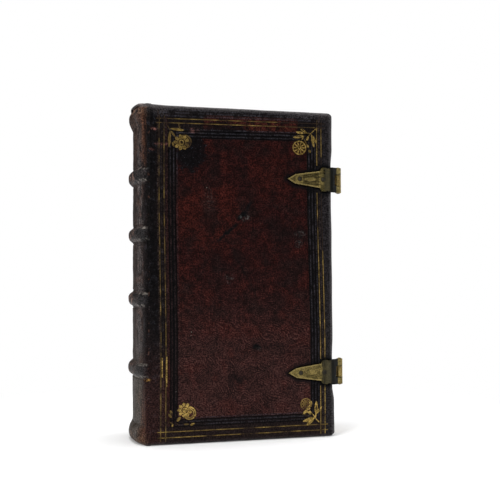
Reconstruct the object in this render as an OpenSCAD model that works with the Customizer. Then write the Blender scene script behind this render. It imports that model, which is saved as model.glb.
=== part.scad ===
// A small antique book in full leather. Its pages are sewn on four raised cords, wooden boards are laced
// to them, and two brass clasps hold it shut. It stands on its tail edge.
// X runs from spine to fore-edge, Y from front to back and Z from tail to head.

/* [Book] */
// Height of the boards from tail to head
book_h = 150; // [120:1:190]
// Width of a board from the joint to the fore-edge
board_w = 86; // [76:1:120]
// Thickness over both covers
book_t = 36; // [30:1:50]
// How far the rounded spine stands out past the joints
spine_bulge = 4; // [2.5:0.1:6]
// Thickness of a wooden board
board_t = 3.2; // [2.6:0.1:4]
// Thickness of the covering leather
leather_t = 0.8; // [0.6:0.05:1.1]
// Thickness of the turn-ins and of the paper glued inside a board
turn_in_t = 0.45; // [0.3:0.05:0.7]
// Width of the turned-in leather inside a board
turn_in_w = 10; // [6:0.5:16]
// How far the boards reach past the pages
square_w = 2.5; // [2.2:0.1:4]
// Radius on the outer edges of a cover
edge_r = 1; // [0.6:0.1:1.4]
// Radius on the inner edges of a cover
inner_edge_r = 0.5; // [0.3:0.1:0.8]
// Radius on the fore-edge corners of a board
corner_r = 1.8; // [1:0.1:3]
// Depth of the hollow in the fore-edge of the pages
hollow_depth = 2.4; // [1:0.1:4]

/* [Spine] */
// Distance from the head to the middle of the first band
band_1_drop = 31; // [24:0.2:36]
// Distance from the head to the middle of the second band
band_2_drop = 57.4; // [50:0.2:62]
// Distance from the head to the middle of the third band
band_3_drop = 86.4; // [76:0.2:90]
// Distance from the head to the middle of the fourth band
band_4_drop = 117.6; // [100:0.2:118]
// Height of a raised band
band_h = 6; // [5.2:0.1:7]
// How far a band stands out from the spine
band_rise = 2; // [1.4:0.1:2.6]
// How far a band runs on over the board, past the joint
band_end_l = 2.8; // [2:0.1:4]
// How far the end of a band stands out from the board
band_end_rise = 0.4; // [0.2:0.05:0.6]
// Radius of a sewing cord
cord_r = 1; // [0.8:0.05:1.1]
// Thickness of the lining on the spine of the pages
spine_lining_t = 0.4; // [0.2:0.05:0.5]
// Height of the flared cap at head and tail
cap_h = 4.5; // [3.5:0.1:7]
// How far a cap flares out from the spine
cap_flare = 1.3; // [0.6:0.1:1.6]
// Radius of an endband
endband_r = 0.95; // [0.6:0.05:1]
// Distance from a band to the tie-down line beside it
tie_line_gap = 0.8; // [0.5:0.1:2]

/* [Tooling] */
// Depth of the gilt lines and flowers in the leather
gilt_depth = 0.15; // [0.1:0.01:0.25]
// Depth of the gold below the face of the leather
gilt_sink = 0.04; // [0.02:0.01:0.08]
// Width of a gilt line
gilt_w = 0.42; // [0.3:0.02:0.8]
// Spacing of the two gilt lines
gilt_step = 2.2; // [1.5:0.1:3]
// Outer gilt line from the joint
gilt_joint = 5.7; // [4:0.1:7]
// Outer gilt line from the fore-edge, at half its length
gilt_fore = 4.2; // [3.4:0.1:6]
// Outer gilt line from the head, at half its length
gilt_head = 5.6; // [4:0.1:7]
// Outer gilt line from the tail, at half its length
gilt_tail = 3.1; // [2.7:0.1:7]
// Rise of the lines at the head on their way to the fore-edge
head_drift = 0.9; // [-1:0.1:2.5]
// Drop of the lines at the tail on their way to the fore-edge
tail_drift = 0.2; // [-1:0.1:2.5]
// How much closer to the fore-edge its lines come at the tail than at the head
fore_drift = 1.2; // [-0.5:0.1:1.2]
// How much further from the joint its lines come at the tail than at the head
joint_drift = 0.7; // [-0.5:0.1:1.2]
// Distance that the gilt lines run past each other at the corners
gilt_overrun = 1.6; // [0.8:0.1:2.5]
// Width of a blind line
blind_w = 0.5; // [0.3:0.05:0.8]
// Depth of a blind line
blind_depth = 0.2; // [0.1:0.01:0.3]
// Spacing of the three blind lines
blind_step = 1.5; // [1.2:0.05:2]
// Outer blind line from the joint
blind_joint = 9.9; // [8.8:0.1:11]
// Outer blind line from the fore-edge
blind_fore = 8.3; // [7.8:0.1:10]
// Outer blind line from the head
blind_head = 10.8; // [9.5:0.1:13]
// Outer blind line from the tail
blind_tail = 7.5; // [7.4:0.1:13]
// Length of the corner flower from stem to the middle of its head
flower_l = 11.4; // [9:0.1:13]
// Radius of the flower head
flower_r = 3.3; // [2.4:0.1:4]
// Petals of the flower head
petal_count = 8; // [6:1:10]

/* [Clasps] */
// Distance from the head to the middle of the upper clasp
upper_clasp_drop = 31.5; // [24:0.1:45]
// Distance from the tail to the middle of the lower clasp
lower_clasp_rise = 29.5; // [24:0.1:45]
// Thickness of a brass plate
plate_t = 0.9; // [0.8:0.05:1.2]
// How far a plate is let into the leather
plate_sink = 0.4; // [0.2:0.05:0.5]
// Length of a plate from its tip to the edge of the board
plate_l = 21.3; // [19:0.1:24]
// Length of the arrow tip
tip_l = 4; // [3:0.1:5]
// Width of the arrow tip at its shoulders
tip_w = 4.6; // [4.2:0.1:6]
// Width of the body where it meets the collar
body_w = 7.8; // [7:0.1:9]
// Length of the collar
collar_l = 4; // [3.4:0.1:4.6]
// Width of the collar
collar_w = 11.1; // [10.4:0.1:13]
// Width of the slab that bends over the fore-edge
slab_w = 10.6; // [9.8:0.1:12]
// Depth of the engraved panels
panel_depth = 0.22; // [0.1:0.02:0.35]
// Width of the raised rim around a panel
rim_w = 0.75; // [0.5:0.05:1]
// Radius of a knuckle
knuckle_r = 1.4; // [1.25:0.05:1.7]
// Distance from the fore-edge to the hinge pin
barrel_reach = 4; // [3:0.1:4]
// Length of the three knuckles together
barrel_l = 11.6; // [10.6:0.1:13]
// Length of the middle knuckle
mid_knuckle_l = 5; // [4.4:0.1:5.6]
// Gap between two knuckles
knuckle_gap = 0.15; // [0.1:0.01:0.25]
// Radius of a hinge pin
pin_r = 0.6; // [0.5:0.05:0.7]
// Running clearance of a pin in its bore
pin_clear = 0.05; // [0.03:0.01:0.08]
// Radius of a catch bar
bar_r = 0.6; // [0.45:0.05:0.7]
// Distance from the fore-edge to the catch bar
bar_reach = 1.7; // [1.5:0.05:2]
// Radius of a lug around the catch bar
lug_r = 1.1; // [1:0.05:1.3]
// Thickness of a clasp arm
arm_t = 1.2; // [1:0.05:1.5]
// Width of a clasp arm
arm_w = 8.8; // [7:0.1:10]
// Width of the hook of a clasp arm
hook_w = 4.4; // [3.6:0.1:4.6]
// Thickness of the hook's lip
lip_t = 1; // [0.7:0.05:1.2]
// How far the lip reaches past the middle of the catch bar
lip_bite = 0.3; // [0.1:0.05:0.4]
// Clearance between the hook and the catch bar
hook_clear = 0.35; // [0.3:0.05:0.4]
// Angle by which the arms stand off the catch bars
arm_stand_off = 3; // [2.8:0.1:5]
// Radius of a rivet's shank
rivet_r = 0.45; // [0.35:0.05:0.55]
// Radius of a rivet's head
rivet_head_r = 0.85; // [0.75:0.05:1]
// Height of a rivet's head
rivet_head_h = 0.4; // [0.3:0.05:0.5]

/* [Hidden] */

// Clearances of close fits, of arcs that lie in each other, of the pages in their covers and of the joints
fit_gap = 0.05;
arc_gap = 0.3;
page_gap = 0.3;
joint_gap = 0.3;
// A length past any face, for cuts that have to come out of it
past = 1;
// Facets of a full turn of the spine's arcs and of small round parts
spine_fn = 240;
round_fn = 48;

half_t = book_t / 2;
cover_t = leather_t + board_t + turn_in_t;
cover_in = half_t - cover_t;
cover_mid = half_t - cover_t / 2;
page_half = cover_in - page_gap;
page_tail = square_w;
page_head = book_h - square_w;
page_edge = board_w - square_w;

// The outer face of the spine is an arc through both joints, and the pages are rounded on the same axis
function chord_radius(half, rise) = (half * half + rise * rise) / (2 * rise);
spine_r = chord_radius(half_t, spine_bulge);
spine_x = spine_r - spine_bulge;
spine_angle = asin(half_t / spine_r);
leather_in_r = spine_r - leather_t;
lining_r = leather_in_r - arc_gap;
page_r = lining_r - spine_lining_t - arc_gap;

// The bands run on a tighter arc, so that they die away into the joints
band_reach = spine_bulge + band_rise;
band_r = chord_radius(half_t, band_reach);
band_x = band_r - band_reach;
band_zs = [book_h - band_1_drop, book_h - band_2_drop, book_h - band_3_drop, book_h - band_4_drop];
band_steps = 8;
cord_path_r = band_r - leather_t - 2 * fit_gap - cord_r;
cord_angle = asin(page_half / cord_path_r);
room_r = cord_r + fit_gap;
channel_in_r = cord_path_r - room_r;
band_fullness = 1.5;
tie_line_w = 0.35;
tie_line_depth = 0.2;
cap_round = leather_t;
cap_steps = 5;

// The shoulders of the pages flare out to hold the boards
board_x = joint_gap + leather_t + 0.5;
board_bevel = 1;
shoulder_x = board_x - page_gap;
shoulder_flat = 0.3;
shoulder_half = min(half_t - leather_t - 2 * page_gap,
    page_r * sin(acos((spine_x - shoulder_x + shoulder_flat) / page_r)));
shoulder_r = board_bevel;
endband_path_r = page_r - endband_r;
endband_angle = asin((page_half - page_gap) / page_r);

// Slips are the ends of the cords, laced into the boards
slip_l = 8;
slip_w = 3.6;
slip_t = 0.85;
slip_plug_r = 1.1;

// Parts of the flower tool. A row holds the place along and out from the stem, the turn, the length and
// the width of a leaf, all but the turn as shares of the stem's length up to the flower.
flower_line = 0.36;
hub_share = 0.22;
petal_gap = 0.12;
petal_fullness = 0.45;
bud = [0.72, 0, 0, 0.34, 0.17];
sprig = [[0.42, 0.24, 52, 0.5, 0.045], [0.55, 0.52, 75, 0.34, 0.16], [0.84, 0.56, 30, 0.34, 0.16],
    [1.18, 0.58, 8, 0.3, 0.13], [0.98, 0.26, 20, 0.1, 0.06]];

clasp_zs = [book_h - upper_clasp_drop, lower_clasp_rise];
plate_out = half_t - plate_sink + plate_t;
tip_notch = 0.2;
plate_margin = 0.3;
lobe_steps = 5;
slab_out = 1.6;
bend_x = 0.5;
knuckle_half = mid_knuckle_l / 2 + knuckle_gap;
pin_x = board_w + barrel_reach;
bar_x = board_w + bar_reach;
pin_bore_r = pin_r + pin_clear;
pin_head_r = 0.95;
pin_head_h = 0.35;
rivet_margin = 0.3;
nail_r = 0.42;
nail_rises = [collar_w / 2 - 1.2, collar_w / 2 - 2.6];
rivet_us = [tip_l + 2 * rivet_head_r, plate_l - collar_l - rivet_margin];
arm_in = bar_reach + bar_r + hook_clear - barrel_reach;
arm_out = arm_in + arm_t;
arm_len = 2 * cover_mid + bar_r + hook_clear + lip_t;
arm_bend_r = 0.8;
arm_shoulder = knuckle_r + 1;
arm_flare = 0.7;
arm_taper = 2.5;

function arc(centre, r, from, to, steps) =
    [for (i = [0 : steps]) let (a = from + (to - from) * i / steps) centre + r * [cos(a), sin(a)]];

// Outline of a clasp arm in plan, from its hinge pin, when it is latched
lip_tip = bar_reach - lip_bite - barrel_reach;
arm_outline = concat([[arm_in, 0], [arm_out, 0]],
    arc([arm_out - arm_bend_r, arm_len - arm_bend_r], arm_bend_r, 0, 90, 4),
    [[lip_tip + lip_t / 4, arm_len], [lip_tip, arm_len - lip_t / 3], [lip_tip, arm_len - lip_t],
     [arm_in, arm_len - lip_t]]);

// The origin is the middle of the whole book's base
reach_spine = -band_reach;
reach_fore = pin_x + max([for (p = arm_outline) p.x * cos(arm_stand_off) + p.y * sin(arm_stand_off)]);
centre_x = (reach_spine + reach_fore) / 2;

module placed() {
    translate([-centre_x, 0, 0]) children();
}

// Draws an outline of X and Z on the front face, sunk by a depth and standing out by a rise
module on_front(depth, rise) {
    translate([0, -half_t + depth, 0])
        rotate([90, 0, 0]) linear_extrude(depth + rise) children();
}

// Turns an outline of radius and Z about an upright axis, equally far to both sides of the spine's middle
module spine_sweep(axis_x, angle) {
    translate([axis_x, 0, 0])
        rotate([0, 0, 180 - angle]) rotate_extrude(angle = 2 * angle, $fn = spine_fn) children();
}

// Pages

module text_block() {
    tip_angle = asin(shoulder_half / page_r);
    hollow_r = chord_radius(page_half, hollow_depth);
    hollow_angle = asin(page_half / hollow_r);
    color([0.84, 0.76, 0.6]) placed() difference() {
        translate([0, 0, page_tail]) linear_extrude(page_head - page_tail) polygon(concat(
            arc([spine_x, 0], page_r, 180 - tip_angle, 180 + tip_angle, 24),
            [[shoulder_x, -shoulder_half]],
            arc([shoulder_x + shoulder_r, -page_half - shoulder_r], shoulder_r, 180, 90, 4),
            arc([page_edge + hollow_r - hollow_depth, 0], hollow_r,
                180 + hollow_angle, 180 - hollow_angle, 16),
            arc([shoulder_x + shoulder_r, page_half + shoulder_r], shoulder_r, -90, -180, 4),
            [[shoulder_x, shoulder_half]]));
        for (z = band_zs) cord_channel(z, cord_angle + 1);
    }
}

// The room of a pair of cords, with a clearance all round
module cord_channel(z, angle) {
    spine_sweep(band_x, angle) polygon(concat(
        arc([cord_path_r, z - room_r], room_r, -90, 0, 4),
        arc([cord_path_r, z + room_r], room_r, 0, 90, 4),
        [[channel_in_r, z + 2 * room_r], [channel_in_r, z - 2 * room_r]]));
}

// The panels of lining between the cords
module spine_lining() {
    color([0.62, 0.55, 0.42]) placed() spine_sweep(spine_x, endband_angle) difference() {
        translate([lining_r - spine_lining_t, page_tail]) square([spine_lining_t, page_head - page_tail]);
        for (z = band_zs) translate([0, z - 2 * room_r]) square([spine_r, 4 * room_r]);
    }
}

module endband(z) {
    color([0.55, 0.42, 0.25]) placed() spine_sweep(spine_x, endband_angle)
        translate([endband_path_r, z]) circle(endband_r, $fn = round_fn);
}

module headband() endband(page_head + endband_r + fit_gap);
module tailband() endband(page_tail - endband_r - fit_gap);

// Two round cords side by side, which the leather covers to make a raised band
module sewing_cord(number) {
    z = band_zs[number - 1];
    color([0.6, 0.5, 0.33]) placed() spine_sweep(band_x, cord_angle)
        for (side = [-1, 1])
            translate([cord_path_r, z + side * (cord_r + fit_gap)]) circle(cord_r, $fn = round_fn);
}

module spine_section() {
    flare = [for (i = [0 : cap_steps])
        [spine_r + cap_flare * (1 - cos(180 * i / cap_steps)) / 2,
         book_h - cap_h + (cap_h - cap_round) * i / cap_steps]];
    rounding = arc([spine_r + cap_flare - cap_round, book_h - cap_round], cap_round, 0, 90, 4);
    head = concat(flare, rounding, [[leather_in_r, book_h]]);
    count = len(head);
    polygon(concat(head, [for (i = [1 : count]) [head[count - i].x, book_h - head[count - i].y]]));
}

module band_section(z) {
    base_r = band_r - band_reach;
    polygon(concat([[base_r, z - band_h / 2]],
        [for (i = [-band_steps : band_steps])
            [band_r - band_rise * pow(1 - cos(90 * i / band_steps), band_fullness),
             z + band_h / 2 * i / band_steps]],
        [[base_r, z + band_h / 2]]));
}

module spine_leather() {
    color([0.27, 0.22, 0.2]) placed() intersection() {
        difference() {
            union() {
                spine_sweep(spine_x, spine_angle) spine_section();
                for (z = band_zs) spine_sweep(band_x, spine_angle + 15) band_section(z);
            }
            translate([spine_x, 0, -past])
                cylinder(r = leather_in_r, h = book_h + 2 * past, $fn = spine_fn);
            for (z = band_zs) cord_channel(z, cord_angle + 1);
            for (z = band_zs, side = [-1, 1])
                spine_sweep(spine_x, spine_angle + 1)
                    translate([spine_r - tie_line_depth,
                        z + side * (band_h / 2 + tie_line_gap) - tie_line_w / 2])
                        square([past, tie_line_w]);
        }
        translate([-band_reach - past, -half_t, 0])
            cube([band_reach + past - joint_gap / 2, book_t, book_h]);
    }
}

// Covers, each drawn as the front one

// The space that a cover fills, with its edges rounded in all three directions
module cover_form() {
    section = concat(
        [[joint_gap / 2, -half_t]],
        arc([board_w - edge_r, -half_t + edge_r], edge_r, -90, 0, 4),
        arc([board_w - inner_edge_r, -cover_in - inner_edge_r], inner_edge_r, 0, 90, 3),
        [[board_x, -cover_in], [board_x, -half_t + leather_t], [joint_gap / 2, -half_t + leather_t]]);
    edge = concat(
        arc([-half_t + edge_r, edge_r], edge_r, 180, 270, 4),
        arc([-cover_in - inner_edge_r, inner_edge_r], inner_edge_r, -90, 0, 3),
        arc([-cover_in - inner_edge_r, book_h - inner_edge_r], inner_edge_r, 0, 90, 3),
        arc([-half_t + edge_r, book_h - edge_r], edge_r, 90, 180, 4));
    face = concat([[0, 0]],
        arc([board_w - corner_r, corner_r], corner_r, -90, 0, 4),
        arc([board_w - corner_r, book_h - corner_r], corner_r, 0, 90, 4), [[0, book_h]]);
    intersection() {
        linear_extrude(book_h) polygon(section);
        rotate([90, 0, 90]) linear_extrude(board_w) polygon(edge);
        rotate([90, 0, 0]) linear_extrude(book_t) polygon(face);
    }
}

// The low rounded ends of the bands, where the cords go into the board
module band_ends() {
    end_r = chord_radius(band_end_l, band_end_rise);
    intersection() {
        union() for (z = band_zs)
            translate([0, end_r - half_t - band_end_rise, z]) sphere(end_r, $fn = spine_fn);
        translate([joint_gap / 2, -half_t - past, 0])
            cube([band_end_l + past, past + leather_t / 2, book_h]);
    }
}

// The wooden board, bevelled where it meets the shoulder of the pages
module board_form() {
    inner = -cover_in - turn_in_t;
    outer = inner - board_t;
    translate([0, 0, leather_t]) linear_extrude(book_h - 2 * leather_t) polygon([
        [board_x, outer], [board_w - leather_t, outer], [board_w - leather_t, inner],
        [board_x + board_bevel, inner], [board_x, inner - board_bevel]]);
}

module pastedown_form() {
    translate([board_x + board_bevel, -cover_in - turn_in_t, turn_in_w])
        cube([board_w - turn_in_w - board_x - board_bevel, turn_in_t, book_h - 2 * turn_in_w]);
}

module slip_form(grow) {
    for (z = band_zs) translate([board_x, -half_t + leather_t, z]) {
        translate([-past * sign(grow), 0, -slip_w / 2 - grow])
            cube([slip_l + past * sign(grow) + grow, slip_t + grow, slip_w + 2 * grow]);
        translate([slip_l - slip_plug_r, slip_t / 2, 0]) rotate([-90, 0, 0])
            cylinder(r = slip_plug_r + grow, h = board_t - slip_t / 2 + past * sign(grow), $fn = round_fn);
    }
}

module rivet_holes() {
    for (z = clasp_zs, u = rivet_us)
        translate([board_w - plate_l + u, -plate_out - past, z]) rotate([-90, 0, 0])
            cylinder(r = rivet_r + fit_gap, h = past + plate_out - cover_in - turn_in_t, $fn = round_fn);
}

module cover_board() {
    difference() {
        board_form();
        slip_form(fit_gap);
        rivet_holes();
    }
}

module cover_leather() {
    difference() {
        union() {
            cover_form();
            band_ends();
        }
        board_form();
        pastedown_form();
        on_front(gilt_depth, past) gilt_pattern();
        on_front(blind_depth, past) blind_pattern();
        for (z = clasp_zs) plate_recess(z);
        rivet_holes();
    }
}

// Tooling, drawn in X and Z

// A straight line of a fillet wheel from one point to another
module stroke(from, to, width) {
    along = (to - from) / norm(to - from);
    across = [-along.y, along.x] * width / 2;
    polygon([from - across, to - across, to + across, from + across]);
}

// Where the lines at given distances from the four edges cross near a corner, named by its signs
function crossing(joint, fore, head, tail, corner) =
    let (drift = corner.y > 0 ? head_drift : -tail_drift,
        level = corner.y > 0 ? book_h - head : tail,
        x = corner.x > 0 ? board_w - fore - corner.y * fore_drift / 2 : joint - corner.y * joint_drift / 2)
    [x, level + drift * (x / board_w - 0.5)];

// Four lines around the board, each running on past the others at the corners
module line_frame(joint, fore, head, tail, width, overrun) {
    for (side = [-1, 1]) {
        ends = [for (end = [-1, 1]) crossing(joint, fore, head, tail, [end, side])];
        on = (ends[1] - ends[0]) / norm(ends[1] - ends[0]) * overrun;
        stroke(ends[0] - on, ends[1] + on, width);
        feet = [for (end = [-1, 1]) crossing(joint, fore, head, tail, [side, end])];
        up = (feet[1] - feet[0]) / norm(feet[1] - feet[0]) * overrun;
        stroke(feet[0] - up, feet[1] + up, width);
    }
}

// The area that lies further in than the blind tooled frame's outer edge and an added distance
module blind_area(in) {
    polygon([for (corner = [[-1, -1], [1, -1], [1, 1], [-1, 1]])
        crossing(blind_joint + in, blind_fore + in, blind_head + in, blind_tail + in, corner)]);
}

module blind_pattern() {
    for (i = [0 : 2])
        difference() {
            blind_area(i * blind_step);
            blind_area(i * blind_step + blind_w);
        }
}

module gilt_lines() {
    for (in = [0, gilt_step])
        line_frame(gilt_joint + in, gilt_fore + in, gilt_head + in, gilt_tail + in,
            gilt_w, gilt_overrun + in);
}

module leaf(length, width) {
    r = chord_radius(length / 2, width / 2);
    intersection() {
        translate([0, r - width / 2]) circle(r, $fn = round_fn);
        translate([0, width / 2 - r]) circle(r, $fn = round_fn);
    }
}

// A flower that grows along +X from the foot of its stem, with a sprig of leaves to each side
module flower() {
    neck = flower_l - flower_r;
    hub_r = flower_r * hub_share;
    petal_l = flower_r - flower_line - hub_r - 2 * petal_gap;
    translate([flower_l, 0]) {
        circle(hub_r, $fn = round_fn);
        difference() {
            circle(flower_r, $fn = round_fn);
            circle(flower_r - flower_line, $fn = round_fn);
        }
        for (i = [0 : petal_count - 1])
            rotate(360 * i / petal_count)
                translate([hub_r + petal_gap + petal_l / 2, 0]) leaf(petal_l, petal_l * petal_fullness);
    }
    translate([0, -flower_line / 2]) square([neck * bud[0], flower_line]);
    translate([neck * bud[0], 0]) leaf(neck * bud[3], neck * bud[4]);
    for (side = [-1, 1], row = sprig)
        translate([neck * row[0], side * neck * row[1]]) rotate(side * row[2])
            leaf(neck * row[3], neck * row[4]);
}

module corner_flowers() {
    in = gilt_step + gilt_w;
    for (sx = [-1, 1], sz = [-1, 1])
        translate(crossing(gilt_joint + in, gilt_fore + in, gilt_head + in, gilt_tail + in, [sx, sz]))
            rotate(atan2(-sz, -sx)) flower();
}

module gilt_pattern() {
    difference() {
        union() {
            gilt_lines();
            corner_flowers();
        }
        for (z = clasp_zs) plate_place(z) plate_outline(plate_margin);
    }
}

module cover_gilding() {
    intersection() {
        on_front(gilt_depth, 0) gilt_pattern();
        translate([0, -half_t + gilt_sink, 0]) cube([board_w, gilt_depth, book_h]);
    }
}

// Plates of the clasps, drawn from the tip towards the fore-edge

module plate_place(z) {
    translate([board_w - plate_l, z]) children();
}

// Outline of a plate, grown or shrunk by a margin
module plate_outline(grow) {
    collar_x = plate_l - collar_l - slab_out;
    lobe_r = (collar_w - body_w) / 2;
    lobe_y = collar_w / 2 - lobe_r;
    side = concat(
        [[tip_l, tip_w / 2 + grow], [tip_l + tip_notch * 2, tip_w / 2 - tip_notch + grow],
         [tip_l + tip_notch * 4, tip_w / 2 + grow], [collar_x - grow, body_w / 2 + grow]],
        arc([collar_x + lobe_r, lobe_y], lobe_r + grow, 180, 90, lobe_steps),
        arc([plate_l - slab_out - lobe_r, lobe_y], lobe_r + grow, 90, 30, lobe_steps),
        [[plate_l - slab_out + grow, slab_w / 2 + grow], [plate_l + past, slab_w / 2 + grow]]);
    count = len(side);
    other_side = [for (i = [1 : count]) [side[count - i].x, -side[count - i].y]];
    polygon(concat([[-grow * 1.6, 0]], side, other_side));
}

module plate_recess(z) {
    on_front(plate_sink, past) plate_place(z) plate_outline(plate_margin);
}

// Sunk panels with a raised rim in the tip and body of a plate, and the ornament left standing in them
module plate_panels() {
    body_x = tip_l + rivet_head_r * 2 + 2 * rim_w;
    body_end = plate_l - collar_l - slab_out - rim_w;
    body_l = body_end - body_x;
    slope = (body_w - tip_w) / 2 / (plate_l - collar_l - slab_out - tip_l);
    half_near = tip_w / 2 + slope * (body_x - tip_l) - rim_w;
    half_far = tip_w / 2 + slope * (body_end - tip_l) - rim_w;
    polygon([[rim_w * 1.7, 0], [tip_l - rim_w / 2, tip_w / 2 - rim_w],
        [tip_l - rim_w / 2, rim_w - tip_w / 2]]);
    difference() {
        polygon([[body_x, half_near], [body_end, half_far], [body_end, -half_far], [body_x, -half_near]]);
        translate([body_x + body_l * 0.46, 0]) leaf(body_l * 0.74, half_near * 1.15);
        for (s = [-1, 1]) {
            translate([body_x + body_l * 0.56, s * half_far * 0.68]) rotate(s * 9)
                leaf(body_l * 0.6, rim_w * 0.6);
            translate([body_end - rim_w, s * half_far * 0.4]) circle(rim_w * 0.4, $fn = round_fn);
        }
    }
}

// Section of a leg in plan: it bends down over the fore-edge and its outer face runs on to the round end
module leg_section(reach, r) {
    start = [board_w + bend_x, -plate_out];
    eye = [board_w + reach, -cover_mid];
    run = eye - start;
    slope = atan2(run.y, run.x) - asin(r / norm(run));
    away = [sin(slope), -cos(slope)];
    inner_start = start - plate_t * away;
    polygon([[board_w - bend_x, -plate_out], start, eye + r * away, eye + (r - plate_t) * away,
        inner_start, [board_w - bend_x, -plate_out + plate_t]]);
}

// A plate with two legs that end in round eyes of a given radius, bored for a pin or bar. Between the
// legs the plate ends at a distance from the board.
module plate_body(z, reach, eye_r, bore_r, between) {
    leg_w = barrel_l / 2 - knuckle_half;
    difference() {
        union() {
            translate([0, -plate_out + plate_t, 0]) rotate([90, 0, 0]) linear_extrude(plate_t)
                intersection() {
                    plate_place(z) plate_outline(0);
                    translate([0, z - collar_w]) square([board_w, 2 * collar_w]);
                }
            intersection() {
                translate([0, 0, z - slab_w / 2]) linear_extrude(slab_w) leg_section(reach, eye_r);
                translate([0, -half_t - book_t, z - slab_w])
                    cube([board_w + between, 2 * book_t, 2 * slab_w]);
            }
            for (side = [-1, 1])
                translate([0, 0, z + side * (barrel_l / 2 + knuckle_half) / 2 - leg_w / 2])
                    linear_extrude(leg_w) {
                        leg_section(reach, eye_r);
                        translate([board_w + reach, -cover_mid]) circle(eye_r, $fn = round_fn);
                    }
        }
        translate([board_w + reach, -cover_mid, z - barrel_l / 2 - past])
            cylinder(r = bore_r, h = barrel_l + 2 * past, $fn = round_fn);
        translate([0, -plate_out + panel_depth, 0]) rotate([90, 0, 0]) linear_extrude(past)
            plate_place(z) plate_panels();
        rivet_holes();
    }
}

module hinge_plate(z) plate_body(z, barrel_reach, knuckle_r, pin_bore_r, slab_out);

// The upper hinge plate has two small empty nail holes in one lobe of its collar
module drilled_hinge_plate(z) {
    difference() {
        hinge_plate(z);
        for (rise = nail_rises) translate([board_w - slab_out - collar_l / 2, -plate_out - past, z + rise])
            rotate([-90, 0, 0]) cylinder(r = nail_r, h = 2 * past + plate_t, $fn = round_fn);
    }
}

// Here the plate stays clear of the lip of the latched hook
module catch_plate(z) plate_body(z, bar_reach, lug_r, bar_r + fit_gap, bar_reach - lip_bite - hook_clear);

// A pin with a flat domed head at each end of the barrel
module headed_pin(x, z, r, head_r) {
    end = barrel_l / 2 + fit_gap;
    head = [[r, end], [head_r, end], [head_r * 0.8, end + pin_head_h * 0.75],
        [head_r * 0.4, end + pin_head_h], [0, end + pin_head_h]];
    count = len(head);
    translate([x, -cover_mid, z]) rotate_extrude($fn = round_fn)
        polygon(concat(head, [for (i = [1 : count]) [head[count - i].x, -head[count - i].y]]));
}

module rivets(z) {
    dome_r = chord_radius(rivet_head_r, rivet_head_h);
    inner = -cover_in - turn_in_t;
    for (u = rivet_us) translate([board_w - plate_l + u, 0, z]) {
        translate([0, inner, 0]) rotate([90, 0, 0])
            cylinder(r = rivet_r, h = plate_out + inner, $fn = round_fn);
        intersection() {
            translate([0, -plate_out - rivet_head_h + dome_r, 0]) sphere(dome_r, $fn = round_fn);
            translate([-dome_r, -plate_out - past, -dome_r]) cube([2 * dome_r, past, 2 * dome_r]);
        }
    }
}

// Clasp arm: a plate with a knuckle at one end and a hook at the other, turned off the catch bar
module clasp_arm(z) {
    half = arm_w / 2;
    hook = hook_w / 2;
    root = mid_knuckle_l / 2;
    hook_y = arm_len - arm_taper - 2 * lip_t;
    wide_y = arm_shoulder + arm_flare;
    taper_y = hook_y - arm_taper;
    plan = [[-past, -root], [arm_shoulder, -root], [wide_y, -half], [taper_y, -half],
        [hook_y, -hook], [arm_len + past, -hook], [arm_len + past, hook], [hook_y, hook],
        [taper_y, half], [wide_y, half], [arm_shoulder, root], [-past, root]];
    panel = [[wide_y + rim_w, rim_w - half], [taper_y - rim_w, rim_w - half],
        [hook_y - 2 * rim_w, rim_w - hook], [hook_y - 2 * rim_w, hook - rim_w],
        [taper_y - rim_w, half - rim_w], [wide_y + rim_w, half - rim_w]];
    translate([pin_x, -cover_mid, z]) rotate([0, 0, -arm_stand_off]) difference() {
        union() {
            intersection() {
                translate([0, 0, -half]) linear_extrude(arm_w) polygon(arm_outline);
                translate([-barrel_reach, 0, 0]) rotate([90, 0, 90])
                    linear_extrude(2 * barrel_reach + arm_out) polygon(plan);
            }
            translate([0, 0, -root]) cylinder(r = knuckle_r, h = mid_knuckle_l, $fn = round_fn);
        }
        translate([0, 0, -root - past])
            cylinder(r = pin_bore_r, h = mid_knuckle_l + 2 * past, $fn = round_fn);
        translate([arm_out - panel_depth, 0, 0]) rotate([90, 0, 90]) linear_extrude(past) difference() {
            polygon(panel);
            translate([(wide_y + taper_y) / 2, 0]) leaf((taper_y - wide_y) * 0.7, half * 0.8);
        }
    }
}

module back() mirror([0, 1, 0]) children();

module front_board() color([0.5, 0.36, 0.22]) placed() cover_board();
module front_leather() color([0.2, 0.09, 0.08]) placed() cover_leather();
module front_pastedown() color([0.83, 0.76, 0.62]) placed() pastedown_form();
module front_slips() color([0.6, 0.5, 0.33]) placed() slip_form(0);
module front_gilding() color([0.66, 0.54, 0.28]) placed() cover_gilding();
module upper_hinge_plate() color([0.6, 0.54, 0.3]) placed() drilled_hinge_plate(clasp_zs[0]);
module lower_hinge_plate() color([0.6, 0.54, 0.3]) placed() hinge_plate(clasp_zs[1]);
module upper_hinge_pin() color([0.4, 0.36, 0.2]) placed()
    headed_pin(pin_x, clasp_zs[0], pin_r, pin_head_r);
module lower_hinge_pin() color([0.4, 0.36, 0.2]) placed()
    headed_pin(pin_x, clasp_zs[1], pin_r, pin_head_r);
module upper_hinge_rivets() color([0.45, 0.4, 0.24]) placed() rivets(clasp_zs[0]);
module lower_hinge_rivets() color([0.45, 0.4, 0.24]) placed() rivets(clasp_zs[1]);
module upper_clasp() color([0.62, 0.56, 0.33]) placed() clasp_arm(clasp_zs[0]);
module lower_clasp() color([0.62, 0.56, 0.33]) placed() clasp_arm(clasp_zs[1]);
module back_board() color([0.5, 0.36, 0.22]) placed() back() cover_board();
module back_leather() color([0.2, 0.09, 0.08]) placed() back() cover_leather();
module back_pastedown() color([0.83, 0.76, 0.62]) placed() back() pastedown_form();
module back_slips() color([0.6, 0.5, 0.33]) placed() back() slip_form(0);
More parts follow.
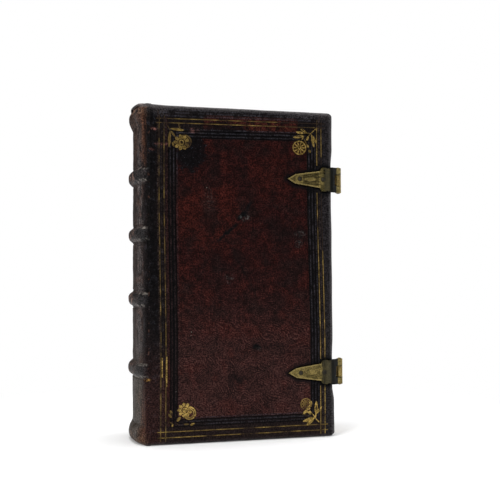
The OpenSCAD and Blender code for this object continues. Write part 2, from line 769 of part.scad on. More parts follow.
module back_gilding() color([0.66, 0.54, 0.28]) placed() back() cover_gilding();
module upper_catch_plate() color([0.6, 0.54, 0.3]) placed() back() catch_plate(clasp_zs[0]);
module lower_catch_plate() color([0.6, 0.54, 0.3]) placed() back() catch_plate(clasp_zs[1]);
module upper_catch_bar() color([0.4, 0.36, 0.2]) placed() back()
    headed_pin(bar_x, clasp_zs[0], bar_r, lug_r);
module lower_catch_bar() color([0.4, 0.36, 0.2]) placed() back()
    headed_pin(bar_x, clasp_zs[1], bar_r, lug_r);
module upper_catch_rivets() color([0.45, 0.4, 0.24]) placed() back() rivets(clasp_zs[0]);
module lower_catch_rivets() color([0.45, 0.4, 0.24]) placed() back() rivets(clasp_zs[1]);

text_block();
spine_lining();
headband();
tailband();
sewing_cord(1);  // sewing_cord_1
sewing_cord(2);  // sewing_cord_2
sewing_cord(3);  // sewing_cord_3
sewing_cord(4);  // sewing_cord_4
spine_leather();
front_board();
front_leather();
front_pastedown();
front_slips();
front_gilding();
upper_hinge_plate();
lower_hinge_plate();
upper_hinge_pin();
lower_hinge_pin();
upper_hinge_rivets();
lower_hinge_rivets();
upper_clasp();
lower_clasp();
back_board();
back_leather();
back_pastedown();
back_slips();
back_gilding();
upper_catch_plate();
lower_catch_plate();
upper_catch_bar();
lower_catch_bar();
upper_catch_rivets();
lower_catch_rivets();
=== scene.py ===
import math

import bmesh
import bpy
import numpy as np
from mathutils import Matrix, Vector, noise


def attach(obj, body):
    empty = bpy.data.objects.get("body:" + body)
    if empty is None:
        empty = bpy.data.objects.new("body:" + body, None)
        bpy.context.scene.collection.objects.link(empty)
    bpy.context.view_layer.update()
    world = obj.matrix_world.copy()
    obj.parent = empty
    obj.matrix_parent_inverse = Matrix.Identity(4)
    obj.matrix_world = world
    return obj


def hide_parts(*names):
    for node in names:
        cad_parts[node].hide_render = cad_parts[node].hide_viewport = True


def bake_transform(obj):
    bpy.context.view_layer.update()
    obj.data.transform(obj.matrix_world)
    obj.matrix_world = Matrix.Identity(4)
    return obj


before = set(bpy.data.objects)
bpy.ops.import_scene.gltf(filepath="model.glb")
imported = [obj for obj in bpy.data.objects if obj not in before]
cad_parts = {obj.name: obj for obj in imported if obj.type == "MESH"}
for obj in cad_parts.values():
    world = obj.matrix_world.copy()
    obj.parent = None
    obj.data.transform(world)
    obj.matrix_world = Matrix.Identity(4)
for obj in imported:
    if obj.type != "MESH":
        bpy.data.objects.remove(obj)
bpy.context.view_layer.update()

# sizes, in millimetres as in the CAD source
MM = 0.001
CENTRE_X = 42.7808
BOOK_H = 150.0
BOARD_W = 86.0
HALF_T = 18.0
COVER_T = 4.45
TURN_IN = 10.0
TURN_IN_T = 0.45
PAGES_HALF_T = 13.25
EDGE_R = 1.0
INNER_R = 0.5
CORNER_R = 1.8
SPINE_R = 42.5
SPINE_X = 38.5
JOINT_ROUND = 2.0
BAND_ZS = (119.0, 92.6, 63.6, 32.4)
BAND_HALF = 3.2
BAND_RISE = 2.0
# Tooled lines beside the bands, from their middles, and by the caps
TIE_STEP = BAND_HALF + 0.8
TIE_W = 0.45
CAP_LINE_ZS = (8.3, BOOK_H - 8.6)
CAP_LINE_W = 0.44
SPINE_LINE_DEPTH = 0.3
CLASP_ZS = (118.5, 29.5)
PLATE_L = 21.3
# Half outline of a clasp plate: distance from its tip and half width
PLATE_HALF = ((0, 0), (4, 2.3), (15.7, 3.9), (15.8, 4.6), (16.6, 5.55), (18.6, 5.55), (19.7, 5.3),
              (PLATE_L + 2, 5.3))
RIVET_US = (70.4, 81.7)
# Half length of the clasp arm's knuckle between the legs of its plate
MID_KNUCKLE = 2.58

BLIND_W = 0.5
BLIND_DEPTH = 0.24
# Middles of the lines, from the joint and from the tail
BLIND_US = (10.2, 11.7, 13.2, 74.9, 76.4, 77.9)
BLIND_VS = (7.8, 9.2, 10.7, 135.9, 137.4, 138.9)
GILT_W = 0.42
GILT_DEPTH = 0.13
GILT_US = (5.9, 8.1, 79.5, 81.6)
GILT_VS = (3.15, 5.65, 142.3, 144.2)
GILT_PAST = 1.6
GILT_U_ENDS = (GILT_US[0] - GILT_PAST, GILT_US[-1] + GILT_PAST)
GILT_V_ENDS = (GILT_VS[0] - GILT_PAST, GILT_VS[-1] + GILT_PAST)
# The gilt lines of the fore-edge stop this far from the middle of a clasp
GILT_TO_CLASP = 6.2
# Short lines beside the two by the joint, where the tool was set down again: U, first and last V
SECOND_STRIKES = ((6.5, 29.5, 38.0), (8.5, 25.5, 38.5))
# Faint outer lines at the head: V, first and last U
OUTER_LINES = ((146.1, 12.0, 74.0), (147.6, 16.0, 72.0))
OUTER_W = 0.4
OUTER_FADE = 8
# Sunk sides of the gold: strips reach into their grooves, plates of the flowers into the leather
STRIP_SUNK = 0.22
LEAF_SUNK = 0.1
STRIP_STEP = 2.5

# How far the worn fore-edge stands out, by height; it is tight beside the clasps
FORE_SWELL = ((0, 0.9), (17, 0.8), (22, 0.0), (37, 0.0), (44, 0.3), (90, 0.2), (111, 0.0), (126, 0.0),
              (132, 0.55), (150, 0.65))
# How far a plain edge of the worn leather stays inside the source's edge
EDGE_WORN = 0.12
# Arc length from the joint where the rings at head and tail turn from the spine's cap to the board
BOARD_START = 2.6
# Reach of the fine rows on both sides of a band or a clasp
FINE_REACH = 6.6
# How dark the leather's base colours are beside the shades that they show in the even studio light
LEATHER_SHADE = 0.66


# curves and the shape of the spine
def smooth(value, low, high):
    """0 below low, 1 above high and an S-curve between them."""
    t = np.clip((np.asarray(value, float) - low) / (high - low), 0, 1)
    return t * t * (3 - 2 * t)


def within(value, low, high, soft):
    """1 from low to high, falling to 0 over soft outside them."""
    return smooth(value, low - soft, low) * (1 - smooth(value, high, high + soft))


def place(point):
    """A point of the CAD source, in millimetres, as metres in the shared frame."""
    return (point[0] - CENTRE_X) * MM, point[1] * MM, point[2] * MM


def drift(u, v):
    """X and Z of a point with tooling coordinates u and v, as the hand-tooled frame isn't quite square."""
    u, v = np.asarray(u, float), np.asarray(v, float)
    lean = np.interp(v, [0, 12, 47, 74, 105, 140, 150], [0.3, 0.35, 0.45, 0.05, -0.45, -0.5, -0.2])
    x = u + lean * np.interp(u, [0, 4, 12, 45, 73, 82, 84.2, 86], [0, 1, 1, 0.6, 1.3, 1.3, 0.4, 0])
    rise = np.interp(v, [0, 110, 134, 139, 142, 145, 148.2, 150], [0, 0, 1.3, 1.3, 0.9, 0.9, 0.4, 0])
    z = v + rise * (u / BOARD_W - 0.5) * smooth(u, 0, 4.5) * (1 - smooth(u, 83, 86))
    return x, z


# In plan a small round at the joint leads from the spine's arc to the face of the board
ROUND_Y = -HALF_T + JOINT_ROUND
ROUND_X = SPINE_X - math.sqrt((SPINE_R - JOINT_ROUND) ** 2 - ROUND_Y ** 2)
ROUND_TURN = math.atan2(-ROUND_Y, SPINE_X - ROUND_X)
ROUND_START = ROUND_X - JOINT_ROUND * (math.pi / 2 - ROUND_TURN)
# Arc length at the middle of the spine
SPINE_MID = ROUND_START - ROUND_TURN * SPINE_R


def spine_frame(s):
    """Point and outward normal, in plan, at an arc length below 0 on the spine and above 0 on the board."""
    if s >= ROUND_X:
        return (s, -HALF_T), (0.0, -1.0)
    (x, y), r = ((ROUND_X, ROUND_Y), JOINT_ROUND) if s >= ROUND_START else ((SPINE_X, 0.0), SPINE_R)
    angle = ROUND_TURN + (s - ROUND_START) / r
    n = (-math.cos(angle), -math.sin(angle))
    return (x + r * n[0], y + r * n[1]), n


def plate_distance(x, z):
    """Signed distance from the nearest clasp plate's outline, below 0 inside it. x and z are arrays."""
    outline = np.array(PLATE_HALF, float)
    best = np.full(np.shape(x), 1e3)
    for clasp_z in CLASP_ZS:
        px, pz = x - (BOARD_W - PLATE_L), np.abs(z - clasp_z)
        d = np.full(np.shape(px), 1e3)
        for (ax, az), (bx, bz) in zip(outline[:-1], outline[1:]):
            ex, ez = bx - ax, bz - az
            t = np.clip(((px - ax) * ex + (pz - az) * ez) / (ex * ex + ez * ez), 0, 1)
            d = np.minimum(d, np.hypot(px - ax - t * ex, pz - az - t * ez))
        inside = (px > 0) & (pz < np.interp(px, outline[:, 0], outline[:, 1]))
        best = np.minimum(best, np.where(inside, -d, d))
    return best


# relief of the leather
def groove(value, middle, width, soft=0.09):
    """1 in a groove of that width, falling off over soft on both sides."""
    return 1 - smooth(np.abs(value - middle), width / 2 - soft, width / 2 + soft)


def grooves(value, middles, width, depth, where):
    """Depth of parallel grooves, cut as far as where says."""
    return depth * np.max([groove(value, middle, width) for middle in middles], axis=0) * where


def tooling(u, v):
    """Depth of the blind and gilt lines."""
    half = BLIND_W / 2
    cut = [
        grooves(u, BLIND_US, BLIND_W, BLIND_DEPTH, within(v, BLIND_VS[0] - half, BLIND_VS[-1] + half, 0.1)),
        grooves(v, BLIND_VS, BLIND_W, BLIND_DEPTH, within(u, BLIND_US[0] - half, BLIND_US[-1] + half, 0.1)),
        grooves(u, GILT_US, GILT_W, GILT_DEPTH, (v > GILT_V_ENDS[0]) & (v < GILT_V_ENDS[1])),
        grooves(v, GILT_VS, GILT_W, GILT_DEPTH, (u > GILT_U_ENDS[0]) & (u < GILT_U_ENDS[1]))]
    for middle, first, last in OUTER_LINES:
        along = within(u, first + OUTER_FADE, last - OUTER_FADE, OUTER_FADE)
        cut.append(grooves(v, [middle], OUTER_W, GILT_DEPTH, along))
    return np.max(cut, axis=0)


def cap_swell(end):
    """How far the cap stands out from the spine at a distance from the head or tail."""
    return np.interp(end, [0, 0.3, 0.8, 1.5, 2.4, 3.5, 4.8, 6.2, 7.4, 8.2, 9.5],
                     [-0.7, 0.35, 1.0, 1.5, 1.8, 1.9, 1.7, 1.1, 0.5, 0.15, 0])


def cap_rise(s, v):
    """How far the cap at the head stands above the boards, fading out below it."""
    rise = np.interp(s, [-14, -8, -5.5, -3.5, 0, 4, 8], [2.0, 1.8, 1.35, 0.8, 0.4, 0.12, 0])
    return rise * smooth(v, 138, BOOK_H - CORNER_R)


def fore_swell(z):
    """How far the leather of the fore-edge stands out at a height."""
    return float(np.interp(z, *zip(*FORE_SWELL)))


def on_spine(s):
    """1 on the open spine, falling to 0 at the joint."""
    return 1 - smooth(s, -6.5, 0.2)


def band_relief(s, z):
    """Height of the raised bands, which get lower towards the joint and die away on the board."""
    share = np.clip((s - SPINE_MID) / -SPINE_MID, 0, 1.2)
    crown = BAND_RISE * (1 - 0.6 * share**2.2)
    crown = np.where(s > 0, BAND_RISE * 0.4 * (1 - smooth(s, 0.0, 2.6)), crown)
    half = BAND_HALF - 0.8 * smooth(s, -2.0, 2.4)
    out = np.zeros(s.shape)
    for number, band_z in enumerate(BAND_ZS):
        lump = 0.35 * np.sin(s * 0.9 + number * 2.1) * smooth(s, -9, -2)
        t = np.clip(np.abs(z - band_z - lump) / half, 0, 1)
        out = np.maximum(out, crown * (1 - t**3.2))
    return out


def spine_lines(s, z):
    """Depth of the lines beside the bands and by the caps, which fade out at the joint."""
    ties = [band_z + side for band_z in BAND_ZS for side in (-TIE_STEP, TIE_STEP)]
    return np.maximum(
        grooves(z, ties, TIE_W, SPINE_LINE_DEPTH, 1 - smooth(s, -0.5, 2.2)),
        grooves(z, CAP_LINE_ZS, CAP_LINE_W, SPINE_LINE_DEPTH, 1 - smooth(s, -2.5, -0.5)))


def wander(u, z, seed, scale, size):
    """Slow unevenness of the leather's surface."""
    u, z = np.broadcast_arrays(u, z)
    out = [noise.noise(Vector((a * scale, b * scale, seed))) for a, b in zip(u.ravel(), z.ravel())]
    return np.array(out).reshape(u.shape) * size


def unevenness(u, z, seed):
    return wander(u, z, seed, 0.11, 0.16) + wander(u, z, seed + 5, 0.4, 0.07)


def relief(s, v, x, z, seed):
    """How far the leather stands out from its plain surface."""
    bands, beside = band_relief(s, z), plate_distance(x, z)
    high = bands - spine_lines(s, z) - tooling(s, v)
    high = high + cap_swell(np.minimum(z, BOOK_H - z)) * on_spine(s)
    high = high + unevenness(s, z, seed)
    high = high + wander(s, z * 0.35, seed + 9, 0.9, 0.12) * on_spine(s)
    crease = 0.2 * groove(s, 0.8, 0.7, 0.3) * (1 - smooth(bands, 0.05, 0.3))
    sunk = 0.5 * (1 - smooth(beside, 0.16, 0.5)) * (s > 0)
    swell = 0.12 * np.exp(-((beside - 0.9) / 0.5) ** 2) * (s > 0)
    return high - crease - sunk + swell


# grids
def lines_between(low, high, step, wanted):
    """Values from low to high that are at most step apart and hold the wanted ones."""
    marks = sorted({round(w, 4) for w in wanted if low < w < high} | {low, high})
    out = [marks[0]]
    for mark in marks[1:]:
        start = out[-1]
        if mark - start < 0.05:
            continue
        parts = max(1, math.ceil((mark - start) / step - 1e-6))
        out += [start + (mark - start) * (i + 1) / parts for i in range(parts)]
    return out


def grid_lines(start, sections):
    """Values from the start through sections, each given by its end, step and wanted values."""
    out = [start]
    for end, step, wanted in sections:
        out += lines_between(start, end, step, wanted)[1:]
        start = end
    return np.array(out)


def edges_of(width, *middles):
    """The values at both edges of each groove."""
    half = width / 2
    return [m + step for m in middles for step in (-half - 0.12, -half + 0.06, half - 0.06, half + 0.12)]


def columns():
    """Arc lengths of the grid's columns, from the middle of the spine to the fore-edge."""
    marks = edges_of(BLIND_W, *BLIND_US) + edges_of(GILT_W, *GILT_US)
    return grid_lines(SPINE_MID, [
        (-1.2, 0.7, []), (3.6, 0.28, []), (63.6, 1.4, marks), (BOARD_W - CORNER_R, 0.36, marks)])


def rows():
    """Heights of the grid's rows, finer across bands and clasps."""
    marks = edges_of(BLIND_W, *BLIND_VS) + edges_of(GILT_W, *GILT_VS)
    marks += edges_of(OUTER_W, *[line[0] for line in OUTER_LINES]) + edges_of(CAP_LINE_W, *CAP_LINE_ZS)
    sections, reached = [], CORNER_R
    for middle in sorted(BAND_ZS + CLASP_ZS):
        if middle - FINE_REACH > reached:
            sections.append((middle - FINE_REACH, 1.1, marks))
        ties = edges_of(TIE_W, middle - TIE_STEP, middle + TIE_STEP)
        reached = middle + FINE_REACH
        sections.append((reached, 0.4, marks + ties))
    return grid_lines(CORNER_R, sections + [(BOOK_H - CORNER_R, 0.9, marks)])


# Rings round the cover's edge: depth below its face and distance from the board's outer edge
OUTER_ROUND, INNER_ROUND = np.radians([25, 50, 70, 90]), np.radians([0, 45, 90])
BOARD_RINGS = (
    [(0, EDGE_R)]
    + [(EDGE_R * (1 - math.cos(a)), EDGE_R * (1 - math.sin(a))) for a in OUTER_ROUND]
    + [(COVER_T - INNER_R * (1 - math.sin(a)), INNER_R * (1 - math.cos(a))) for a in INNER_ROUND]
    + [(COVER_T, TURN_IN - 0.25), (COVER_T - 0.12, TURN_IN), (COVER_T - TURN_IN_T, TURN_IN)]
)
# The same rings at the ends of the spine: depth and distance from the head or tail
LIP = ((0, 1.0), (0, 0.55), (0, 0.25), (0.15, 0.08), (0.4, 0.0), (0.7, 0.1), (0.95, 0.4), (1.1, 1.0),
       (1.2, 3.0), (1.0, 7.5), (0.8, 10.0))


class Skin:
    """The leather over half the spine and one board, as one closed shell."""

    def __init__(self, seed):
        self.seed = seed
        self.points, self.rest, self.faces = [], [], []
        self.s, self.v = columns(), rows()
        self.frames = [spine_frame(s) for s in self.s]
        self.grid = self.add_grid()
        self.add_rings()

    def add(self, point, rest):
        self.points.append(point)
        self.rest.append(rest)
        return len(self.points) - 1

    def add_grid(self):
        s, v = np.meshgrid(self.s, self.v)
        x, z = drift(s, v)
        z = np.where(s < 0, v, z) + cap_rise(s, v)
        high = relief(s, v, x, z, self.seed)
        out = np.zeros(s.shape, int)
        for j, i in np.ndindex(*s.shape):
            p, n = self.frames[i]
            px = x[j, i] if s[j, i] > 3 else p[0]
            point = (px + n[0] * high[j, i], p[1] + n[1] * high[j, i], z[j, i])
            out[j, i] = self.add(point, (s[j, i], 0, v[j, i]))
        for j, i in np.ndindex(s.shape[0] - 1, s.shape[1] - 1):
            self.faces.append((out[j, i], out[j, i + 1], out[j + 1, i + 1], out[j + 1, i]))
        return out

    def ring_point(self, ring, i, end):
        """A point of a head or tail ring over column i; end is 1 at the head and 0 at the tail."""
        s, (p, n) = self.s[i], self.frames[i]
        deep, inset = BOARD_RINGS[ring]
        lip_deep, lip_inset = LIP[ring]
        outer = inset <= EDGE_R
        x = s
        if inset > CORNER_R and s > BOARD_START:
            narrow = (BOARD_W - inset - BOARD_START) / (BOARD_W - CORNER_R - BOARD_START)
            x = BOARD_START + (s - BOARD_START) * narrow
        swell = float(cap_swell(lip_inset) * on_spine(s)) - lip_deep
        on_cap = (p[0] + n[0] * swell, p[1] + n[1] * swell, lip_inset)
        w = float(smooth(s, 1.3, BOARD_START))
        x, y, z = [a * (1 - w) + b * w for a, b in zip(on_cap, (x, -HALF_T + deep, inset))]
        wave = 0.12 * noise.noise(Vector((s * 0.12, end * 7.0, self.seed + 3.0))) * outer
        z = z + (EDGE_WORN + wave) * (w > 0.5) * outer - end * float(cap_rise(s, BOOK_H))
        z = BOOK_H - z if end else z
        return (x, y, z), (s, deep, z)

    def fore_point(self, ring, v):
        """A point of a ring along the fore-edge."""
        deep, inset = BOARD_RINGS[ring]
        outer = inset <= EDGE_R
        z = float(v if ring else drift(self.s[-1], v)[1])
        if inset > CORNER_R:
            middle = BOOK_H / 2
            z = middle + (z - middle) * (middle - inset) / (middle - CORNER_R)
        wave = (0.1 + 0.12 * noise.noise(Vector((z * 0.09, 3.0, self.seed)))) * outer
        x = BOARD_W - inset - wave
        return (x + fore_swell(z) * outer, -HALF_T + deep, z), (x, deep, z)

    def corner_point(self, ring, angle, end):
        """A point of a ring round a fore-edge corner; end is 1 at the head and 0 at the tail."""
        deep, inset = BOARD_RINGS[ring]
        outer = inset <= EDGE_R
        away = max(CORNER_R, inset)
        r = max(CORNER_R - inset, 0.06)
        x = BOARD_W - away + r * math.cos(angle) - EDGE_WORN * outer
        z = away - r * math.sin(angle) + EDGE_WORN * outer
        z = BOOK_H - z if end else z
        return (x + fore_swell(z) * math.cos(angle) * outer, -HALF_T + deep, z), (x, deep, z)

    def add_rings(self):
        top, last = self.grid[-1], len(self.s) - 1
        fan = np.radians([72, 54, 36, 18])
        rim = [(top[i], self.ring_point, (i, 1)) for i in range(last + 1)]
        rim += [(top[last], self.corner_point, (a, 1)) for a in fan]
        rim += [(start, self.fore_point, (v,)) for start, v in zip(self.grid[::-1, last], self.v[::-1])]
        rim += [(self.grid[0, last], self.corner_point, (a, 0)) for a in fan[::-1]]
        rim += [(self.grid[0, i], self.ring_point, (i, 0)) for i in range(last, -1, -1)]
        rings = [[start for start, _, _ in rim]]
        for ring in range(len(BOARD_RINGS)):
            before, now = rings[-1], [self.add(*shape(ring, *where)) for _, shape, where in rim]
            for k in range(len(rim) - 1):
                quad = [before[k], now[k], now[k + 1], before[k + 1]]
                self.faces.append([q for j, q in enumerate(quad) if q != quad[j - 1]])
            rings.append(now)
        self.close(rings)

    def close(self, rings):
        """Closes the shell inside the spine, behind the board and down the middle of the spine."""
        inner = rings[-1]
        joint = int(np.searchsorted(self.s, BOARD_START))
        for i in range(joint):
            self.faces.append((inner[i], inner[-1 - i], inner[-2 - i], inner[i + 1]))
        self.faces.append(inner[joint:-joint][::-1])
        seam = [row[0] for row in rings[::-1]] + list(self.grid[-2:0:-1, 0]) + [row[-1] for row in rings]
        self.faces.append(seam)

    def build(self, name, side):
        obj = make_piece(name, self.points, self.faces, side, 42)
        places = np.array(self.points)
        store(obj, "rest", "FLOAT_VECTOR", self.rest)
        store(obj, "beside_plate", "FLOAT", plate_distance(places[:, 0], places[:, 2]))
        return obj


def make_piece(name, points, faces, side, sharp):
    """A mesh object, smooth up to an angle; side is 1 for the front cover and -1 for the back one."""
    mesh = bpy.data.meshes.new(name)
    turned = [[int(i) for i in face][::side] for face in faces]
    mesh.from_pydata([place((x, y * side, z)) for x, y, z in points], [], turned)
    mesh.validate()
    mesh.polygons.foreach_set("use_smooth", [True] * len(mesh.polygons))
    mesh.set_sharp_from_angle(angle=math.radians(sharp))
    mesh.update()
    obj = bpy.data.objects.new(name, mesh)
    bpy.context.scene.collection.objects.link(obj)
    return obj


def store(obj, name, kind, values):
    """Keeps a number or a vector for each point of a mesh, for its material."""
    layer = obj.data.attributes.new(name, kind, "POINT")
    field = "vector" if kind == "FLOAT_VECTOR" else "value"
    layer.data.foreach_set(field, np.array(values, np.float32).ravel())


# gold tooling
class Leaf:
    """Collects thin closed plates and strips of gold on the board."""

    def __init__(self, seed):
        self.seed = seed
        self.points, self.faces, self.wear = [], [], []

    def add(self, x, deep, z, wear):
        self.points.append((x, -HALF_T + deep - float(unevenness(x, z, self.seed)), z))
        self.wear.append(wear)

    def join(self, a, b, count):
        """Quads between two closed loops of points that start at a and b."""
        for k in range(count):
            n = (k + 1) % count
            self.faces.append((a + k, b + k, b + n, a + n))

    def plate(self, outline, hole, wear, out):
        """A plate with a convex outline in X and Z, or a ring when it has a hole with as many points."""
        count, top = len(outline), len(self.points)
        for loop in [outline] if hole is None else [outline, hole]:
            for level in (-out, LEAF_SUNK):
                for x, z in loop:
                    self.add(x, level, z, wear)
        under, hole_top, hole_under = [top + k * count for k in (1, 2, 3)]
        self.join(top, under, count)
        if hole is None:
            self.faces += [list(range(top, under)), list(range(under, under + count))[::-1]]
        else:
            self.join(hole_under, hole_top, count)
            self.join(hole_top, top, count)
            self.join(under, hole_under, count)

    def line(self, start, end, width, wear, deep=0.03):
        """A fillet line between two points in u and v, as one closed strip that is sunk into its groove."""
        start, end = np.array(start, float), np.array(end, float)
        length = np.linalg.norm(end - start)
        parts = max(1, round(float(length) / STRIP_STEP))
        across = np.array([start[1] - end[1], end[0] - start[0]]) / length * width / 2
        base = len(self.points)
        for k in range(parts + 1):
            middle = start + (end - start) * k / parts
            for edge, level in ((-1, deep), (1, deep), (1, STRIP_SUNK), (-1, STRIP_SUNK)):
                x, z = drift(*(middle + across * edge))
                self.add(float(x), level, float(z), wear)
            if k:
                self.join(base + 4 * k, base + 4 * k - 4, 4)
        self.faces += [[base + 3, base + 2, base + 1, base], list(range(base + 4 * parts, len(self.points)))]

    def build(self, name, side):
        obj = make_piece(name, self.points, self.faces, side, 20)
        edit = bmesh.new()
        edit.from_mesh(obj.data)
        bmesh.ops.recalc_face_normals(edit, faces=edit.faces)
        edit.to_mesh(obj.data)
        edit.free()
        store(obj, "wear", "FLOAT", self.wear)
        return obj


# The flowers' parts are pairs of an outline and its hole, or None
def polar(centre, r, a):
    return centre[0] + r * math.cos(a), centre[1] + r * math.sin(a)


def hoop(centre, r, hole_r, count=28):
    """A flat ring."""
    angles = np.linspace(0, 2 * math.pi, count, False)
    return [polar(centre, r, a) for a in angles], [polar(centre, hole_r, a) for a in angles]


def petal(centre, length, width, turn, count=12):
    """The outline of a pointed oval round its middle."""
    cos, sin = math.cos(turn), math.sin(turn)
    out = []
    for k in range(count):
        a = 2 * math.pi * k / count
        x = math.cos(a) * length / 2
        z = math.copysign(abs(math.sin(a)) ** 1.3, math.sin(a)) * width / 2
        out.append((centre[0] + x * cos - z * sin, centre[1] + x * sin + z * cos))
    return out


def petals(centre, r, length, width, count, shift=0.0):
    """Petals that point away from a centre, with their middles at a distance r from it."""
    angles = [2 * math.pi * (k + shift) / count for k in range(count)]
    return [(petal(polar(centre, r, a), length, width, a), None) for a in angles]


def wheel(centre, r):
    """A flower seen as a wheel: rim, petals and hub."""
    spokes = petals(centre, r * 0.56, r * 0.56, r * 0.2, 10)
    return [hoop(centre, r, r * 0.84)] + spokes + [hoop(centre, r * 0.27, r * 0.12, 16)]


def rose(centre, r):
    rings = [hoop(centre, r * 0.62, r * 0.5), hoop(centre, r * 0.36, r * 0.22, 18)]
    return petals(centre, r * 0.8, r * 0.5, r * 0.46, 9, 0.5) + rings


def rims(centre, r):
    """A second strike of the tool, of which only the rim shows."""
    return [hoop(centre, r, r * 0.8), hoop(centre, r * 0.7, r * 0.58)]


# Each corner was struck by hand with the same flower tool and has worn in its own way. Leaves and petals
# are given by the X and Z of both ends, width and wear, flowers by kind, middle, radius and wear.
TOP_FORE = (
    [(79.2, 142.6, 77.6, 141.4, 0.3, 0.1), (77.7, 141.4, 76.0, 139.9, 0.45, 0.1),
     (76.1, 140.1, 74.5, 138.0, 0.4, 0.1), (74.8, 138.6, 74.0, 136.5, 1.1, 0.1),
     (76.0, 140.0, 72.6, 139.9, 0.3, 0.15), (74.2, 140.0, 71.0, 141.8, 1.1, 0.18),
     (72.5, 139.8, 68.8, 140.3, 1.15, 0.1), (72.7, 138.5, 67.4, 137.7, 1.35, 0.1),
     (72.6, 138.4, 71.5, 136.6, 0.5, 0.15), (76.4, 139.6, 76.4, 137.6, 0.4, 0.15),
     (76.4, 137.8, 77.6, 133.5, 1.15, 0.06), (76.3, 139.2, 78.9, 135.3, 1.2, 0.14),
     (72.9, 137.0, 74.0, 134.6, 0.5, 0.2), (73.9, 134.6, 75.0, 133.3, 1.0, 0.1),
     (75.0, 132.2, 75.8, 130.9, 1.3, 0.22)],
    [(wheel, (70.4, 133.0), 3.3, 0.02)])
BOTTOM_FORE = (
    [(79.3, 6.5, 77.5, 8.4, 0.5, 0.05), (77.6, 8.4, 75.8, 10.8, 0.5, 0.05),
     (77.3, 8.7, 77.7, 11.2, 0.5, 0.1), (77.5, 10.6, 77.9, 16.4, 1.5, 0.03),
     (77.7, 10.6, 80.4, 13.9, 1.2, 0.1), (77.2, 8.7, 75.9, 8.7, 0.5, 0.05),
     (76.6, 8.7, 73.2, 5.6, 1.5, 0.05), (76.2, 8.9, 71.3, 7.3, 1.4, 0.08),
     (76.0, 9.0, 70.6, 10.8, 0.8, 0.4), (75.0, 16.6, 75.2, 14.6, 1.5, 0.04),
     (75.4, 14.4, 73.7, 13.9, 1.2, 0.05), (74.9, 13.2, 72.6, 12.9, 1.1, 0.05),
     (73.2, 12.4, 71.6, 10.8, 1.3, 0.02), (75.2, 10.5, 74.1, 12.1, 1.5, 0.02),
     (73.6, 11.2, 73.0, 12.4, 0.9, 0.1)],
    [(wheel, (72.8, 15.3), 2.6, 0.2)])
BOTTOM_JOINT = (
    [(10.4, 15.0, 11.4, 13.0, 1.1, 0.27), (9.6, 13.6, 11.0, 11.8, 1.1, 0.24),
     (13.4, 10.0, 14.9, 12.0, 1.3, 0.15), (11.2, 7.8, 11.6, 9.2, 0.7, 0.1),
     (10.2, 9.8, 11.6, 9.2, 0.6, 0.25), (8.7, 8.2, 10.4, 10.8, 0.35, 0.3),
     (16.4, 8.6, 18.8, 8.7, 0.8, 0.27), (19.3, 8.2, 21.2, 8.9, 0.9, 0.1),
     (12.2, 9.4, 14.4, 8.6, 0.4, 0.3)],
    [(rims, (19.0, 13.4), 2.9, 0.12), (rose, (16.9, 14.9), 3.1, 0.02)])
TOP_JOINT = (
    [(10.4, 139.4, 16.6, 138.9, 1.15, 0.22), (14.7, 139.7, 14.1, 141.7, 0.8, 0.25),
     (8.6, 141.6, 10.4, 138.6, 0.35, 0.28), (10.3, 138.4, 9.8, 131.0, 1.3, 0.25),
     (10.6, 138.4, 12.6, 135.8, 0.9, 0.24), (11.2, 133.4, 12.2, 131.2, 0.8, 0.27)],
    [(rims, (16.9, 133.8), 3.1, 0.3), (rose, (15.4, 133.4), 3.4, 0.22)])


def add_flowers(leaf):
    for leaves, flowers in (TOP_FORE, BOTTOM_FORE, BOTTOM_JOINT, TOP_JOINT):
        for ax, az, bx, bz, width, worn in leaves:
            length, turn = math.hypot(bx - ax, bz - az), math.atan2(bz - az, bx - ax)
            leaf.plate(petal(((ax + bx) / 2, (az + bz) / 2), length, width, turn), None, worn, 0.02)
        for flower, centre, r, worn in flowers:
            for outline, hole in flower(centre, r):
                leaf.plate(outline, hole, worn, 0.035)


def add_lines(leaf):
    """The gilt double fillet, which the clasp plates interrupt at the fore-edge, and its second strikes."""
    upper, lower = CLASP_ZS
    low, high = GILT_V_ENDS
    beside_clasps = ((low, lower - GILT_TO_CLASP), (lower + GILT_TO_CLASP, upper - GILT_TO_CLASP),
                     (upper + GILT_TO_CLASP, high))
    for u in GILT_US[:2]:
        leaf.line((u, low), (u, high), GILT_W * 0.85, 0.27)
    for u, start, end in SECOND_STRIKES:
        leaf.line((u, start), (u, end), 0.36, 0.05, -0.03)
    for u in GILT_US[2:]:
        for start, end in beside_clasps:
            leaf.line((u, start), (u, end), GILT_W * 0.78, 0.18)
    for v in GILT_VS:
        leaf.line((GILT_U_ENDS[0], v), (GILT_U_ENDS[1], v), GILT_W * 0.85, 0.24)


# materials
def linear(tone):
    """Blender's colour for a tone of three display values from 0 to 255."""
    shares = [value / 255 for value in tone]
    return (*[c / 12.92 if c <= 0.04045 else ((c + 0.055) / 1.055) ** 2.4 for c in shares], 1.0)


